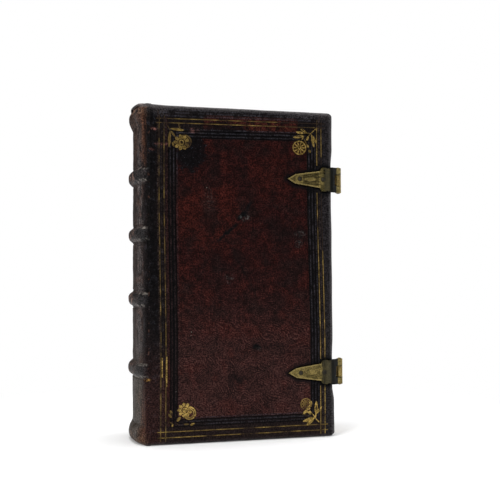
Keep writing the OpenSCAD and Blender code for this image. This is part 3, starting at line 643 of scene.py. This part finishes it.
class Paint:
    """A material's node tree. Each method adds nodes and gives their output, so a look is a formula."""

    def __init__(self, name):
        self.material = bpy.data.materials.new(name)
        self.material.use_nodes = True
        self.tree = self.material.node_tree
        self.shader = self.tree.nodes["Principled BSDF"]

    def put(self, socket, value):
        """Links or sets a socket. Three numbers on a colour socket are a tone."""
        if isinstance(value, bpy.types.NodeSocket):
            self.tree.links.new(value, socket)
        elif socket.type == "RGBA" and len(value) == 3:
            socket.default_value = linear(value)
        else:
            socket.default_value = value

    def node(self, kind, *values, **named):
        """A new node with values for its first sockets and for named ones."""
        node = self.tree.nodes.new("ShaderNode" + kind)
        for socket, value in zip(node.inputs, values):
            self.put(socket, value)
        self.fill(node, named)
        return node

    def fill(self, node, named):
        for name, value in named.items():
            self.put(node.inputs[name.replace("_", " ")], value)

    def done(self, **named):
        """Sets the shader's sockets and gives back the material."""
        self.fill(self.shader, named)
        return self.material

    def math(self, operation, *values):
        node = self.node("Math", *values)
        node.operation = operation
        return node.outputs[0]

    def fold(self, operation, values):
        out = values[0]
        for value in values[1:]:
            out = self.math(operation, out, value)
        return out

    def add(self, *values):
        return self.fold("ADD", values)

    def less(self, a, b):
        return self.math("SUBTRACT", a, b)

    def times(self, *values):
        return self.fold("MULTIPLY", values)

    def most(self, *values):
        return self.fold("MAXIMUM", values)

    def span(self, value, low, high, start=0.0, end=1.0):
        """start below low, end above high and an S-curve between them."""
        if low > high:
            low, high, start, end = high, low, end, start
        node = self.node("MapRange", Value=value, From_Min=low, From_Max=high, To_Min=start, To_Max=end)
        node.interpolation_type = "SMOOTHSTEP"
        return node.outputs[0]

    def mix(self, factor, a, b):
        node = self.tree.nodes.new("ShaderNodeMix")
        node.data_type = "RGBA"
        for index, value in ((0, factor), (6, a), (7, b)):
            self.put(node.inputs[index], value)
        return node.outputs[2]

    def layers(self, colour, *rows):
        """Tones laid over a colour, one after the other. Each row is a tone and the factors of its mask."""
        for tone, *factors in rows:
            colour = self.mix(self.times(*factors), colour, tone)
        return colour

    def shade(self, colour, amount):
        """The colour made lighter or darker by a factor."""
        node = self.node("VectorMath", colour)
        node.operation = "SCALE"
        self.put(node.inputs["Scale"], amount)
        return node.outputs[0]

    def radius(self, x, y):
        return self.math("SQRT", self.add(self.times(x, x), self.times(y, y)))

    def near(self, value, middle, half, soft):
        """1 within half of a middle value, falling to 0 over soft."""
        return self.span(self.math("ABSOLUTE", self.less(value, middle)), half, half + soft, 1, 0)

    def stripes(self, value, middles, half, soft):
        """1 near any of the middle values."""
        return self.most(*[self.near(value, middle, half, soft) for middle in middles])

    def stretch(self, vector, scale, turn=(0, 0, 0)):
        return self.node("Mapping", Vector=vector, Scale=scale, Rotation=turn).outputs[0]

    def noise(self, vector, scale, detail=4.0, rough=0.55, twist=0.0):
        return self.node("TexNoise", Vector=vector, Scale=scale, Detail=detail, Roughness=rough,
                         Distortion=twist).outputs[0]

    def cells(self, vector, scale):
        return self.node("TexVoronoi", Vector=vector, Scale=scale).outputs["Distance"]

    def attribute(self, name, output):
        node = self.node("Attribute")
        node.attribute_name = name
        return node.outputs[output]

    def split(self, vector):
        return self.node("SeparateXYZ", vector).outputs

    def object_mm(self):
        """The piece's own coordinates in millimetres."""
        return self.stretch(self.node("TexCoord").outputs["Object"], (1000, 1000, 1000))

    def bump(self, height, strength, distance):
        return self.node("Bump", Strength=strength, Distance=distance * MM, Height=height).outputs[0]

    def box(self, x, y, low_x, high_x, low_y, high_y, soft):
        """1 inside a rectangle with soft edges."""
        return self.times(
            self.span(x, low_x - soft, low_x + soft), self.span(x, high_x - soft, high_x + soft, 1, 0),
            self.span(y, low_y - soft, low_y + soft), self.span(y, high_y - soft, high_y + soft, 1, 0))

    def spot(self, x, y, cx, cy, rx, ry, inner, *share):
        """1 in an oval, or the share when one is given, falling to 0 at its rim."""
        dx, dy = self.times(self.less(x, cx), 1 / rx), self.times(self.less(y, cy), 1 / ry)
        return self.times(self.span(self.radius(dx, dy), inner, 1.0, 1, 0), *share)

    def spots(self, x, y, *rows):
        return self.most(*[self.spot(x, y, *row) for row in rows])

    def stroke(self, x, y, start, end, half):
        """1 along a straight stroke, tapering to its ends."""
        (x0, y0), (x1, y1) = start, end
        length = math.hypot(x1 - x0, y1 - y0)
        ux, uy = (x1 - x0) / length, (y1 - y0) / length
        dx, dy = self.less(x, x0), self.less(y, y0)
        along = self.times(self.add(self.times(dx, ux), self.times(dy, uy)), 1 / length)
        across = self.math("ABSOLUTE", self.less(self.times(dx, uy), self.times(dy, ux)))
        return self.times(self.span(across, 0.25 * half, half, 1, 0),
                          self.span(along, -0.02, 0.12), self.span(along, 0.85, 1.02, 1, 0))


def board_colours(p, rest, u, v, u0, v0, cloud, fleck, hairs):
    """Mottled red-brown middle and near-black borders of a cover, with painted shade by the joint and
    painted sheen and highlights on the borders.
    """
    hot = p.spots(u, v, (27, 101, 24, 22, 0.4), (60, 120, 18, 22, 0.1, 0.7), (15, 62, 9, 26, 0.2, 0.7))
    blotch = p.noise(p.node("VectorMath", rest, (40, 0, 0)).outputs[0], 0.11, 5, 0.55, 0.3)
    centre = p.layers(
        p.mix(hot, (38, 15, 14), (51, 19, 15)),
        ((55, 33, 31), p.span(v, 66, 26), 0.9),
        ((21, 11, 11), p.span(cloud, 0.44, 0.6), 0.65),
        ((62, 23, 18), p.span(blotch, 0.5, 0.64), 0.45),
        ((29, 20, 19), p.span(blotch, 0.48, 0.36), 0.5),
        ((86, 53, 48), hairs, p.span(v, 84, 30, 0.04, 0.56)))
    border = p.layers(
        p.mix(p.span(cloud, 0.4, 0.62), (18, 15, 16), (25, 19, 19)),
        # brown towards the tail
        ((47, 28, 26), p.span(v, 50, 14), p.span(u0, 12, 7)),
        ((36, 27, 26), p.span(v, 16, 4), p.span(u0, 4, 9)),
        # red where the dye wore off beside the lower joint
        ((84, 26, 24), p.spot(u0, v0, 9.2, 29.0, 1.3, 11.0, 0.3), p.span(fleck, 0.36, 0.56), 0.8),
        # black along the joint, dark leather with painted shade, red between its two frames and at the head
        ((9, 8, 9), p.near(u0, 2.6, 1.6, 1.2), p.span(v, 40, 70), 0.65),
        ((42, 23, 21), p.box(u0, v0, 8.6, 10, 8, 146, 0.4), p.span(v, 150, 60, 0.4, 0.9)),
        ((60, 27, 21), p.box(u0, v0, 26, 70, 139.6, 146, 0.8), p.span(fleck, 0.34, 0.54), 0.9),
        # grey on the fore-edge and the head, rubbed leather with a painted sheen
        ((37, 34, 36), p.span(u0, 78.5, 83)),
        ((60, 56, 57), p.span(v, 144.5, 149.5), p.most(p.span(u, 16, 2), p.span(u, 56, 70), 0.15)),
        # painted bluish highlights on the grain beside the joint
        ((48, 50, 57), p.span(fleck, 0.52, 0.64), p.span(u0, 12, 6), 0.2))
    return p.mix(p.box(u0, v0, 13.4, 74.7, 10.9, 135.7, 0.5), border, centre)


def spine_colours(p, colour, back, rest, u0, v0, fleck, streak):
    """Grey and worn leather of the spine, rusty along the joint and pale on the bands and caps, with painted
    shade towards its middle and painted highlights on the bands' ridges.
    """
    spine = p.layers(
        p.mix(p.span(streak, 0.38, 0.62), (27, 23, 23), (94, 87, 86)),
        ((92, 66, 56), p.span(p.noise(rest, 0.2, 4), 0.48, 0.62), 0.5),
        # painted shade towards the middle of the spine, away from the joint
        ((48, 37, 33), p.span(u0, -8.0, -12.5), 0.8),
        ((84, 78, 66), p.span(v0, 44, 26), 0.35),
        ((84, 64, 54), p.span(v0, 122, 140), p.span(streak, 0.4, 0.6), 0.5))
    to_ends = p.add(0.03, p.times(p.most(p.span(v0, 112, 134), p.span(v0, 30, 8)), 0.7))
    bands = p.times(p.stripes(v0, BAND_ZS, 2.0, 1.4), p.span(u0, 1.5, -2.0))
    off_bands = [p.math("ABSOLUTE", p.less(v0, band_z)) for band_z in BAND_ZS]
    ridge_wear_and_highlights = p.most(*[p.near(off, 2.6, 0.25, 0.6) for off in off_bands])
    caps = p.most(p.span(v0, 6.5, 2.0), p.span(v0, BOOK_H - 7.0, BOOK_H - 2.5))
    return p.layers(
        p.mix(back, colour, spine),
        # rust and a crack along the joint
        ((94, 62, 46), p.span(u0, -6.5, -3.0), p.span(u0, 0.2, -1.4), p.span(streak, 0.42, 0.56), to_ends),
        ((76, 50, 40), p.near(u0, 0.9, 0.2, 0.4), p.span(p.noise(rest, 0.5, 3), 0.54, 0.68), 0.6),
        # dark bands with rubbed ridges that also carry painted highlights, pale where they stand out most
        ((44, 43, 44), bands, 0.8),
        ((112, 106, 100), ridge_wear_and_highlights, p.span(u0, 1.6, -1.0), p.span(u0, -9.0, -5.0),
         p.span(fleck, 0.44, 0.58), 0.75),
        ((124, 98, 88), bands, p.span(u0, -7.0, -11.0), p.span(fleck, 0.46, 0.6), 0.6),
        # bare crumbs under the lowest band
        ((150, 114, 60), p.spot(u0, v0, 0.0, BAND_ZS[3] - 3.9, 2.6, 0.9, 0.3), p.span(fleck, 0.42, 0.5)),
        ((104, 80, 64), caps, p.span(u0, 2.0, -2.0), p.span(fleck, 0.42, 0.58), 0.65))


def scratches_on(p, u, v, v0):
    """Mask of the long scratches and two dents on the front cover."""
    return p.most(
        p.stroke(u, v0, (47.7, 107.5), (41.5, 98.5), 1.3), p.stroke(u, v0, (41.5, 98.0), (31.5, 88.5), 0.9),
        p.times(p.stroke(u, v0, (39.7, 83.3), (50.3, 62.9), 0.5), 0.6),
        p.spot(u, v, 49.3, 41.3, 3.0, 2.1, 0.45), p.spot(u, v, 40, 27, 6.5, 4.0, 0.1, 0.8))


def wear_marks(p, colour, scratches, rest, u, v, u0, v0, fleck, stain):
    """Scratches, scuffs and spots of the front cover, and painted glints on the stain."""
    scuffs = p.spots(
        u, v, (44.6, 100.5, 3.2, 2.3, 0.2), (50.6, 40.2, 1.3, 1.3, 0.2), (36.9, 72.9, 3.4, 3.2, 0.3, 0.55),
        (28, 108, 4, 7, 0.2, 0.35), (70.5, 93.1, 3.0, 2.7, 0.5, 0.7), (70.4, 88.9, 2.9, 2.6, 0.5, 0.8))
    scraped = p.spots(
        u0, v0, (3.2, 139.4, 2.4, 0.9, 0.2), (7.4, 132.9, 4.6, 0.8, 0.2), (2.4, 130.2, 2.2, 0.8, 0.2),
        (21.5, 139.2, 3.2, 1.6, 0.1))
    return p.layers(
        colour,
        ((9, 10, 11), scratches, p.span(fleck, 0.66, 0.46, 0.55, 1)),
        ((74, 74, 73), scuffs, p.span(p.noise(rest, 0.9, 4, 0.7), 0.47, 0.6), 0.75),
        ((118, 78, 72), scraped, p.span(fleck, 0.4, 0.56), 0.75),
        # painted bluish glints on the stain
        ((74, 80, 90), p.span(stain, 0.1, 0.5), p.span(p.noise(rest, 1.1, 3, 0.7), 0.62, 0.7)))


def tooled_tones(p, colour, u0, v0, fleck):
    """Painted shade in the blind lines, painted highlights on the ribs beside them and bare edges of the
    gilt lines.
    """
    in_v, in_u = p.near(v0, 73.3, 65.8, 0.2), p.near(u0, 44, 34.2, 0.2)
    sunk = p.most(p.times(p.stripes(u0, BLIND_US, 0.12, 0.22), in_v),
                  p.times(p.stripes(v0, BLIND_VS, 0.12, 0.22), in_u))
    rib_highlights = p.most(
        p.times(p.stripes(u0, [m + 0.7 for m in BLIND_US], 0.1, 0.3), in_v, 0.8),
        p.times(p.stripes(v0, [m + 0.7 for m in BLIND_VS], 0.1, 0.3), in_u),
        *[p.times(p.near(v0, m, 0.1, 0.4), p.near(u0, 43, 34, 8)) for m in (145.4, 146.8, 148.0)])
    rib_highlight_tone = p.mix(p.times(p.span(u0, 20, 10), p.span(v0, 122, 112)), (54, 53, 59), (44, 29, 29))
    gilt_sides = p.most(p.stripes(u0, (5.3, 80.5), 0.1, 0.3), p.times(p.near(u0, 7.0, 0.1, 0.3), 0.35))
    return p.layers(
        colour,
        # painted highlights on the ribs beside the blind lines and on the faint lines at the head
        (rib_highlight_tone, rib_highlights, p.span(fleck, 0.34, 0.56), 0.6),
        # painted shade in the blind grooves
        ((7, 7, 9), sunk, 0.85),
        ((66, 52, 44), gilt_sides, p.span(fleck, 0.36, 0.56), 0.5))


def aged(p, colour, rest, u0, v0, deep, fleck, grain):
    """The light and dark of the grain, which also stand in for glints, painted glints as pale specks,
    painted highlights on the edges, and painted shade with some grime round the clasp plates.
    """
    wide = p.span(fleck, 0.32, 0.68, p.span(v0, 70, 30, 0.45, 0.7), p.span(v0, 70, 30, 1.55, 1.3))
    # contrast of the fine grain, which also stands in for painted glints
    fine = p.span(grain, 0.36, 0.64, 0.15, 2.1)
    edge_highlights = p.most(p.span(v0, BOOK_H - 2.2, BOOK_H - 0.6), p.span(u0, BOARD_W - 1.8, BOARD_W - 0.6),
                   p.times(p.span(v0, 1.6, 0.5), 0.35))
    return p.layers(
        p.shade(colour, p.times(wide, fine, LEATHER_SHADE)),
        # painted glints: sparse pale specks
        ((130, 126, 120), p.span(p.cells(rest, 0.17), 0.06, 0.03),
         p.span(p.noise(rest, 0.05, 2), 0.52, 0.62), 0.7),
        # painted highlights along the head, the fore-edge and faintly the tail
        ((90, 87, 88), edge_highlights, p.span(grain, 0.36, 0.56, 0.35, 1), p.span(deep, 2.2, 1.2), 0.8),
        # painted shade round the clasp plates, with some grime
        ((6, 7, 9), p.span(p.attribute("beside_plate", "Fac"), 2.9, 0.5), 0.88),
        # turn-ins
        ((52, 32, 25), p.span(deep, 4.2, 4.4)))


def leather(name, marks):
    """Covering leather. u0 and v0 are places on the flat skin, u and v the same with an uneven drift."""
    p = Paint(name)
    rest = p.attribute("rest", "Vector")
    u0, deep, v0 = p.split(rest)
    u = p.add(u0, p.times(p.less(p.noise(rest, 0.16, 3), 0.5), 5))
    v = p.add(v0, p.times(p.less(p.noise(p.stretch(rest, (1, 1, 1), (0, 0, 1.2)), 0.13, 3), 0.5), 6))
    cloud = p.noise(rest, 0.09, 4, 0.6, 0.4)
    fleck = p.noise(rest, 0.42, 5, 0.68, 0.3)
    grain = p.noise(rest, 1.5, 3, 0.65)
    streak = p.noise(p.stretch(rest, (1.2, 1, 0.2)), 0.9, 5, 0.68, 0.3)
    sway = p.times(p.noise(rest, 0.085, 1, 0.5), 26.0)
    waves = p.math("SINE", p.add(p.times(p.add(v0, p.times(u0, 0.45)), 7.6), p.times(sway, 7.6 / 2)))
    hairs = p.times(p.span(waves, -0.3, 0.9), p.span(fleck, 0.36, 0.56, 0.55, 1))
    back = p.span(u0, -1.2, -6.0)

    ragged = p.times(p.less(fleck, 0.5), 1.6)
    stain = p.most(
        p.span(p.add(p.spot(u, v, 20, 129.5, 12, 14, 0.0), ragged), 0.3, 0.45),
        p.times(p.span(p.add(p.spot(u, v, 36, 140, 17, 7, 0.0), ragged), 0.35, 0.5), 0.9))
    colour = board_colours(p, rest, u, v, u0, v0, cloud, fleck, hairs)
    colour = p.layers(colour, ((10, 9, 11), stain, 0.92))
    colour = spine_colours(p, colour, back, rest, u0, v0, fleck, streak)
    scratches = scratches_on(p, u, v, v0) if marks else 0.0
    if marks:
        colour = wear_marks(p, colour, scratches, rest, u, v, u0, v0, fleck, stain)
    colour = tooled_tones(p, colour, u0, v0, fleck)
    colour = aged(p, colour, rest, u0, v0, deep, fleck, grain)

    height = p.add(p.times(fleck, 1.0), p.add(p.times(grain, 0.5), p.times(p.cells(rest, 1.1), -0.4)))
    height = p.less(p.add(height, p.times(streak, back, 0.9)), p.times(scratches, 0.8))
    return p.done(Base_Color=colour, Roughness=p.span(cloud, 0.35, 0.65, 0.42, 0.56),
                  Normal=p.bump(height, 0.7, 0.3), Specular_IOR_Level=0.05)


def gold(name):
    """Gold leaf that is worn off in patches, down to the leather's brown."""
    p = Paint(name)
    rest = p.object_mm()
    x, _, z = p.split(rest)
    u = p.add(x, CENTRE_X)
    wear = p.attribute("wear", "Fac")
    patch = p.noise(rest, 0.16, 4, 0.6)
    crumb = p.noise(rest, 1.3, 5, 0.75)
    # Boxes on the board where more is lost: U, V, softness and how much more
    areas = ((60, 90, 142.6, 150, 1.0, 0.3), (80.4, 90, 86, 129, 1.0, 0.5),
             (79.0, 90, 88, 112, 6.0, 0.2), (2, 9.5, 96, 150, 8.0, 0.13))
    local = p.most(*[p.times(p.box(u, z, *box), more) for *box, more in areas])
    loss = p.add(p.add(p.times(patch, 0.9), p.times(crumb, 0.75)), p.add(wear, local))
    lost = p.span(loss, 0.98, 1.24)
    colour = p.layers(
        p.mix(p.span(crumb, 0.4, 0.62), (98, 80, 38), (198, 167, 92)),
        ((90, 71, 38), p.span(p.add(wear, p.times(patch, 0.5)), 0.3, 0.66)),
        ((34, 23, 17), lost))
    return p.done(Base_Color=colour, Metallic=p.times(p.less(1.0, lost), 0.6),
                  Roughness=p.span(lost, 0, 1, 0.4, 0.6), Normal=p.bump(crumb, 0.4, 0.06),
                  Specular_IOR_Level=0.12)


def brass(name, base, dirt, rough):
    p = Paint(name)
    rest = p.object_mm()
    patina = p.noise(rest, 0.35, 5, 0.62)
    fine = p.noise(rest, 1.9, 4, 0.68)
    colour = p.mix(p.span(patina, 0.35, 0.68), base, p.mix(0.6, base, dirt))
    colour = p.layers(colour, (dirt, p.span(fine, 0.54, 0.4), 0.6))
    return p.done(Base_Color=colour, Metallic=0.55, Roughness=p.span(patina, 0.3, 0.7, rough, rough + 0.16),
                  Normal=p.bump(fine, 0.6, 0.15))


def plate_brass(name, clasp_z, engraved):
    """Cast plate with a worn bright rim that carries a painted highlight, dark ground, engraved or stippled
    body, painted shade round the rivets and painted shade on the slab, in the gap and at the knuckles'
    joint.
    """
    p = Paint(name)
    rest = p.object_mm()
    x, y, z = p.split(rest)
    u, face, off = p.add(x, CENTRE_X), p.math("ABSOLUTE", y), p.math("ABSOLUTE", p.less(z, clasp_z))
    tip_u = BOARD_W - PLATE_L
    # Half width of the plate: the point at its tip and the slower taper of its body
    point, taper = p.times(p.less(u, tip_u), 0.575), p.add(2.3, p.times(p.less(u, tip_u + 4.0), 0.137))
    half = p.math("MINIMUM", point, taper)
    patina = p.noise(rest, 0.4, 5, 0.65)
    fine = p.noise(rest, 1.9, 4, 0.7)
    gold_tone, olive, dark = (150, 132, 78), (112, 99, 56), (36, 32, 18)

    body = p.span(u, 80.6, 80.3)
    if engraved:
        lines = p.math("SINE", p.times(p.math("DIVIDE", off, half), 17.0))
        cut, slab_shade = p.span(lines, -0.1, -0.8), p.span(u, 81.0, 82.8)
    else:
        cut, slab_shade = p.span(p.cells(rest, 1.5), 0.44, 0.2), p.span(u, 79.9, 81.2)
    cut = p.times(cut, p.span(u, 69.5, 71.0), body)
    heads = [p.math("SQRT", p.add(p.math("POWER", p.less(u, rivet_u), 2.0), p.times(off, off)))
             for rivet_u in RIVET_US]
    colour = p.layers(
        p.mix(p.span(patina, 0.36, 0.62), gold_tone, olive),
        (dark, cut, 0.68),
        (dark, p.span(fine, 0.52, 0.4), 0.6),
        # sunk panel, and bright rim, worn and with a painted highlight
        (dark, p.span(face, 18.44, 18.34), p.span(face, 18.0, 18.1), 0.6 if engraved else 0.2),
        ((158, 140, 88), p.span(p.less(half, off), 0.55, 0.3), body, p.span(fine, 0.36, 0.5), 0.8),
        # painted shade round the rivets, and dark lines along the collar
        (dark, p.most(*[p.near(r, 0.95, 0.12, 0.25) for r in heads]), 0.85),
        (dark, p.stripes(u, (80.7, 81.6), 0.1, 0.25), p.span(off, 2.2, 3.0), 0.8),
        # painted shade on the slab, in the gap before the knuckles and at their joint
        ((38, 38, 30), slab_shade, p.span(u, 88.7, 88.3), 0.85),
        ((12, 13, 9), p.span(u, 84.4, 85.6), p.span(u, 88.7, 88.3)),
        ((20, 17, 10), p.near(off, MID_KNUCKLE, 0.12, 0.25), p.span(u, 88.2, 88.6), 0.9))
    height = p.add(p.times(fine, 0.7), p.times(cut, -1.0))
    bare = p.most(p.span(u, 83.6, 82.0), p.span(u, 88.2, 88.6))
    return p.done(Base_Color=colour, Metallic=p.times(bare, 0.55),
                  Roughness=p.span(patina, 0.3, 0.7, 0.4, 0.56), Normal=p.bump(height, 0.7, 0.2),
                  Specular_IOR_Level=0.15)


def paper_edges(name):
    """Edges of the leaves, with gatherings and a dirty head and tail, and a plain leaf on both faces."""
    p = Paint(name)
    rest = p.object_mm()
    _, y, z = p.split(rest)
    sheets = p.noise(p.stretch(rest, (0.02, 3.2, 0.02)), 1.6, 4, 0.75)
    gather = p.noise(p.stretch(rest, (0.01, 0.42, 0.01)), 1.0, 2, 0.5)
    stain = p.noise(rest, 0.07, 4, 0.6)
    leaf = p.mix(p.span(stain, 0.35, 0.7), (200, 180, 140), (178, 152, 110))
    colour = p.layers(
        p.mix(p.span(sheets, 0.36, 0.62), (132, 108, 72), (206, 184, 140)),
        ((120, 94, 60), p.span(gather, 0.46, 0.36), 0.5),
        ((150, 118, 78), p.span(stain, 0.5, 0.7), 0.3),
        ((104, 80, 52), p.most(p.span(z, 144.5, 147.2), p.span(z, 5.5, 2.8)), 0.35),
        (leaf, p.span(p.math("ABSOLUTE", y), PAGES_HALF_T - 0.12, PAGES_HALF_T - 0.04)))
    height = p.add(p.times(sheets, 1.0), p.times(gather, 0.8))
    return p.done(Base_Color=colour, Roughness=0.82, Normal=p.bump(height, 0.8, 0.25))


def pastedown(name):
    """Laid paper with foxing."""
    p = Paint(name)
    rest = p.object_mm()
    laid = p.noise(p.stretch(rest, (0.05, 1, 1.4)), 1.0, 2, 0.5)
    colour = p.layers(
        p.mix(p.span(p.noise(rest, 0.05, 4, 0.6), 0.35, 0.7), (206, 186, 146), (176, 148, 104)),
        ((138, 94, 54), p.span(p.cells(rest, 0.11), 0.16, 0.06), 0.5),
        ((150, 124, 86), p.span(laid, 0.4, 0.6), 0.12))
    return p.done(Base_Color=colour, Roughness=0.85,
                  Normal=p.bump(p.add(laid, p.noise(rest, 1.2, 3)), 0.3, 0.12))


def thread(name):
    """Wound thread of an endband, in two colours by turns."""
    p = Paint(name)
    _, y, _ = p.split(p.object_mm())
    turns = p.math("SINE", p.times(y, 5.2))
    broad = p.math("SINE", p.times(y, 1.3))
    colour = p.mix(p.span(broad, -0.2, 0.2), (150, 126, 82), (86, 58, 38))
    colour = p.layers(colour, ((60, 44, 28), p.span(turns, 0.2, -0.8), 0.6))
    return p.done(Base_Color=colour, Roughness=0.8, Normal=p.bump(turns, 0.7, 0.2))


def plain(name, light, dark, scale, rough, stretch=(1, 1, 1)):
    """A matt material with a soft figure, for wood, cord and lining."""
    p = Paint(name)
    figure = p.noise(p.stretch(p.object_mm(), stretch), scale, 5, 0.6, 0.4)
    colour = p.mix(p.span(figure, 0.35, 0.65), dark, light)
    return p.done(Base_Color=colour, Roughness=rough, Normal=p.bump(figure, 0.4, 0.15))


# pieces of the book
def build_covers():
    for name, side, body, marks in (("front", 1, "front_cover", True), ("back", -1, "back_cover", False)):
        seed = 2.0 if side > 0 else 31.0
        skin = Skin(seed).build(f"{name}_skin", side)
        skin.data.materials.append(leather(f"{name}_cover_leather", marks))
        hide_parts(f"{name}_leather", *(["spine_leather"] if side > 0 else []))
        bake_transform(skin)
        leaf = Leaf(seed)
        add_lines(leaf)
        add_flowers(leaf)
        tooled = leaf.build(f"{name}_gold", side)
        tooled.data.materials.append(gold(f"{name}_worn_gold"))
        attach(tooled, body)
        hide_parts(f"{name}_gilding")


def dress_nodes():
    """Gives every other node its material, by the ending of its name."""
    looks = (
        (("upper_hinge_plate", "upper_catch_plate"), plate_brass("upper_plate_brass", CLASP_ZS[0], True)),
        (("lower_hinge_plate", "lower_catch_plate"), plate_brass("lower_plate_brass", CLASP_ZS[1], False)),
        ("_clasp", brass("arm_brass", (156, 134, 74), (60, 50, 26), 0.4)),
        (("_pin", "_bar"), brass("pin_brass", (140, 122, 70), (60, 50, 28), 0.38)),
        # rivet heads darkened in their colour as painted shade
        ("_rivets", brass("rivet_brass", (50, 44, 28), (20, 18, 13), 0.55)),
        ("_board", plain("oak", (150, 112, 70), (104, 72, 42), 0.3, 0.7, (1, 1, 0.1))),
        (("_slips", "_1", "_2", "_3", "_4"), plain("hemp", (170, 146, 100), (118, 94, 58), 1.2, 0.85)),
        ("spine_lining", plain("lining_cloth", (164, 144, 106), (128, 108, 74), 1.0, 0.85)),
        ("text_block", paper_edges("page_paper")),
        ("_pastedown", pastedown("aged_paper")),
        (("headband", "tailband"), thread("endband_thread")))
    for node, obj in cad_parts.items():
        for endings, material in looks:
            if node.endswith(endings):
                obj.data.materials.clear()
                obj.data.materials.append(material)
                obj.data.polygons.foreach_set("use_smooth", [True] * len(obj.data.polygons))


# floor, light and camera
def build_floor():
    """A white floor that keeps the book's soft shadow and gets plain white further away."""
    p = Paint("floor_paper")
    coords = p.object_mm()
    x, y, _ = p.split(coords)
    cloudy = p.mix(p.noise(coords, 0.01, 3), (0.80, 0.80, 0.80, 1), (0.84, 0.84, 0.84, 1))
    material = p.done(Base_Color=cloudy, Roughness=0.9)
    white = p.times(p.node("LightPath").outputs["Is Camera Ray"], p.span(p.radius(x, y), 60, 190, 0.1, 1))
    faded = p.node("MixShader", white, p.shader.outputs[0], p.node("Emission").outputs[0])
    p.put(p.tree.nodes["Material Output"].inputs[0], faded.outputs[0])
    bpy.ops.mesh.primitive_plane_add(size=30, location=(0, 0, -0.0001))
    floor = bpy.context.object
    floor.name = "floor"
    floor.data.materials.append(material)


def build_world():
    """A soft cool light from all round; the camera sees it white."""
    world = bpy.data.worlds.new("studio")
    bpy.context.scene.world = world
    world.use_nodes = True
    nodes, links = world.node_tree.nodes, world.node_tree.links
    soft, white = nodes["Background"], nodes.new("ShaderNodeBackground")
    pick, path = nodes.new("ShaderNodeMixShader"), nodes.new("ShaderNodeLightPath")
    soft.inputs[0].default_value = (0.9, 0.93, 1.0, 1)
    soft.inputs[1].default_value = 0.12
    white.inputs[0].default_value = (1, 1, 1, 1)
    links.new(path.outputs["Is Camera Ray"], pick.inputs[0])
    links.new(soft.outputs[0], pick.inputs[1])
    links.new(white.outputs[0], pick.inputs[2])
    links.new(pick.outputs[0], nodes["World Output"].inputs[0])


def area_light(name, at, size, power, tint):
    """A rectangular light that points at the middle of the book."""
    data = bpy.data.lights.new(name, "AREA")
    data.shape, (data.size, data.size_y) = "RECTANGLE", size
    data.energy, data.color = power, tint
    obj = bpy.data.objects.new(name, data)
    bpy.context.scene.collection.objects.link(obj)
    obj.location = at
    obj.rotation_mode = "QUATERNION"
    obj.rotation_quaternion = (Vector((0, 0, 0.08)) - Vector(at)).to_track_quat("-Z", "Y")


def build_camera():
    """The camera was solved from the four corners of the front board in the photograph."""
    place_mm, angles = (-39.67, -364.4, 71.95), (14.0, 2.186, -0.21)
    focal_in_pixels, photo_width, sensor = 789.0, 500.0, 36.0
    data = bpy.data.cameras.new("camera")
    data.sensor_width, data.lens = sensor, focal_in_pixels / photo_width * sensor
    data.clip_start, data.clip_end = 0.02, 50
    camera = bpy.data.objects.new("camera", data)
    bpy.context.scene.collection.objects.link(camera)
    yaw, pitch, roll = [math.radians(a) for a in angles]
    look = Vector((math.sin(yaw) * math.cos(pitch), math.cos(yaw) * math.cos(pitch), math.sin(pitch)))
    right = Vector((math.cos(yaw), -math.sin(yaw), 0))
    up = right.cross(look)
    tilted_right = right * math.cos(roll) + up * math.sin(roll)
    tilted_up = up * math.cos(roll) - right * math.sin(roll)
    turn = Matrix((tilted_right, tilted_up, -look)).transposed()
    camera.matrix_world = Matrix.Translation(place(place_mm)) @ turn.to_4x4()
    bpy.context.scene.camera = camera


build_covers()
dress_nodes()
build_floor()
build_world()
area_light("key", (-0.85, -0.7, 0.75), (0.5, 0.5), 9, (1.0, 0.98, 0.95))
area_light("top", (0.0, 0.0, 1.1), (0.7, 0.7), 16, (1, 1, 1))
area_light("right_rim", (0.9, 0.1, 0.4), (0.3, 0.7), 4.0, (0.93, 0.96, 1.0))
build_camera()
bpy.context.scene.view_settings.view_transform = "Standard"
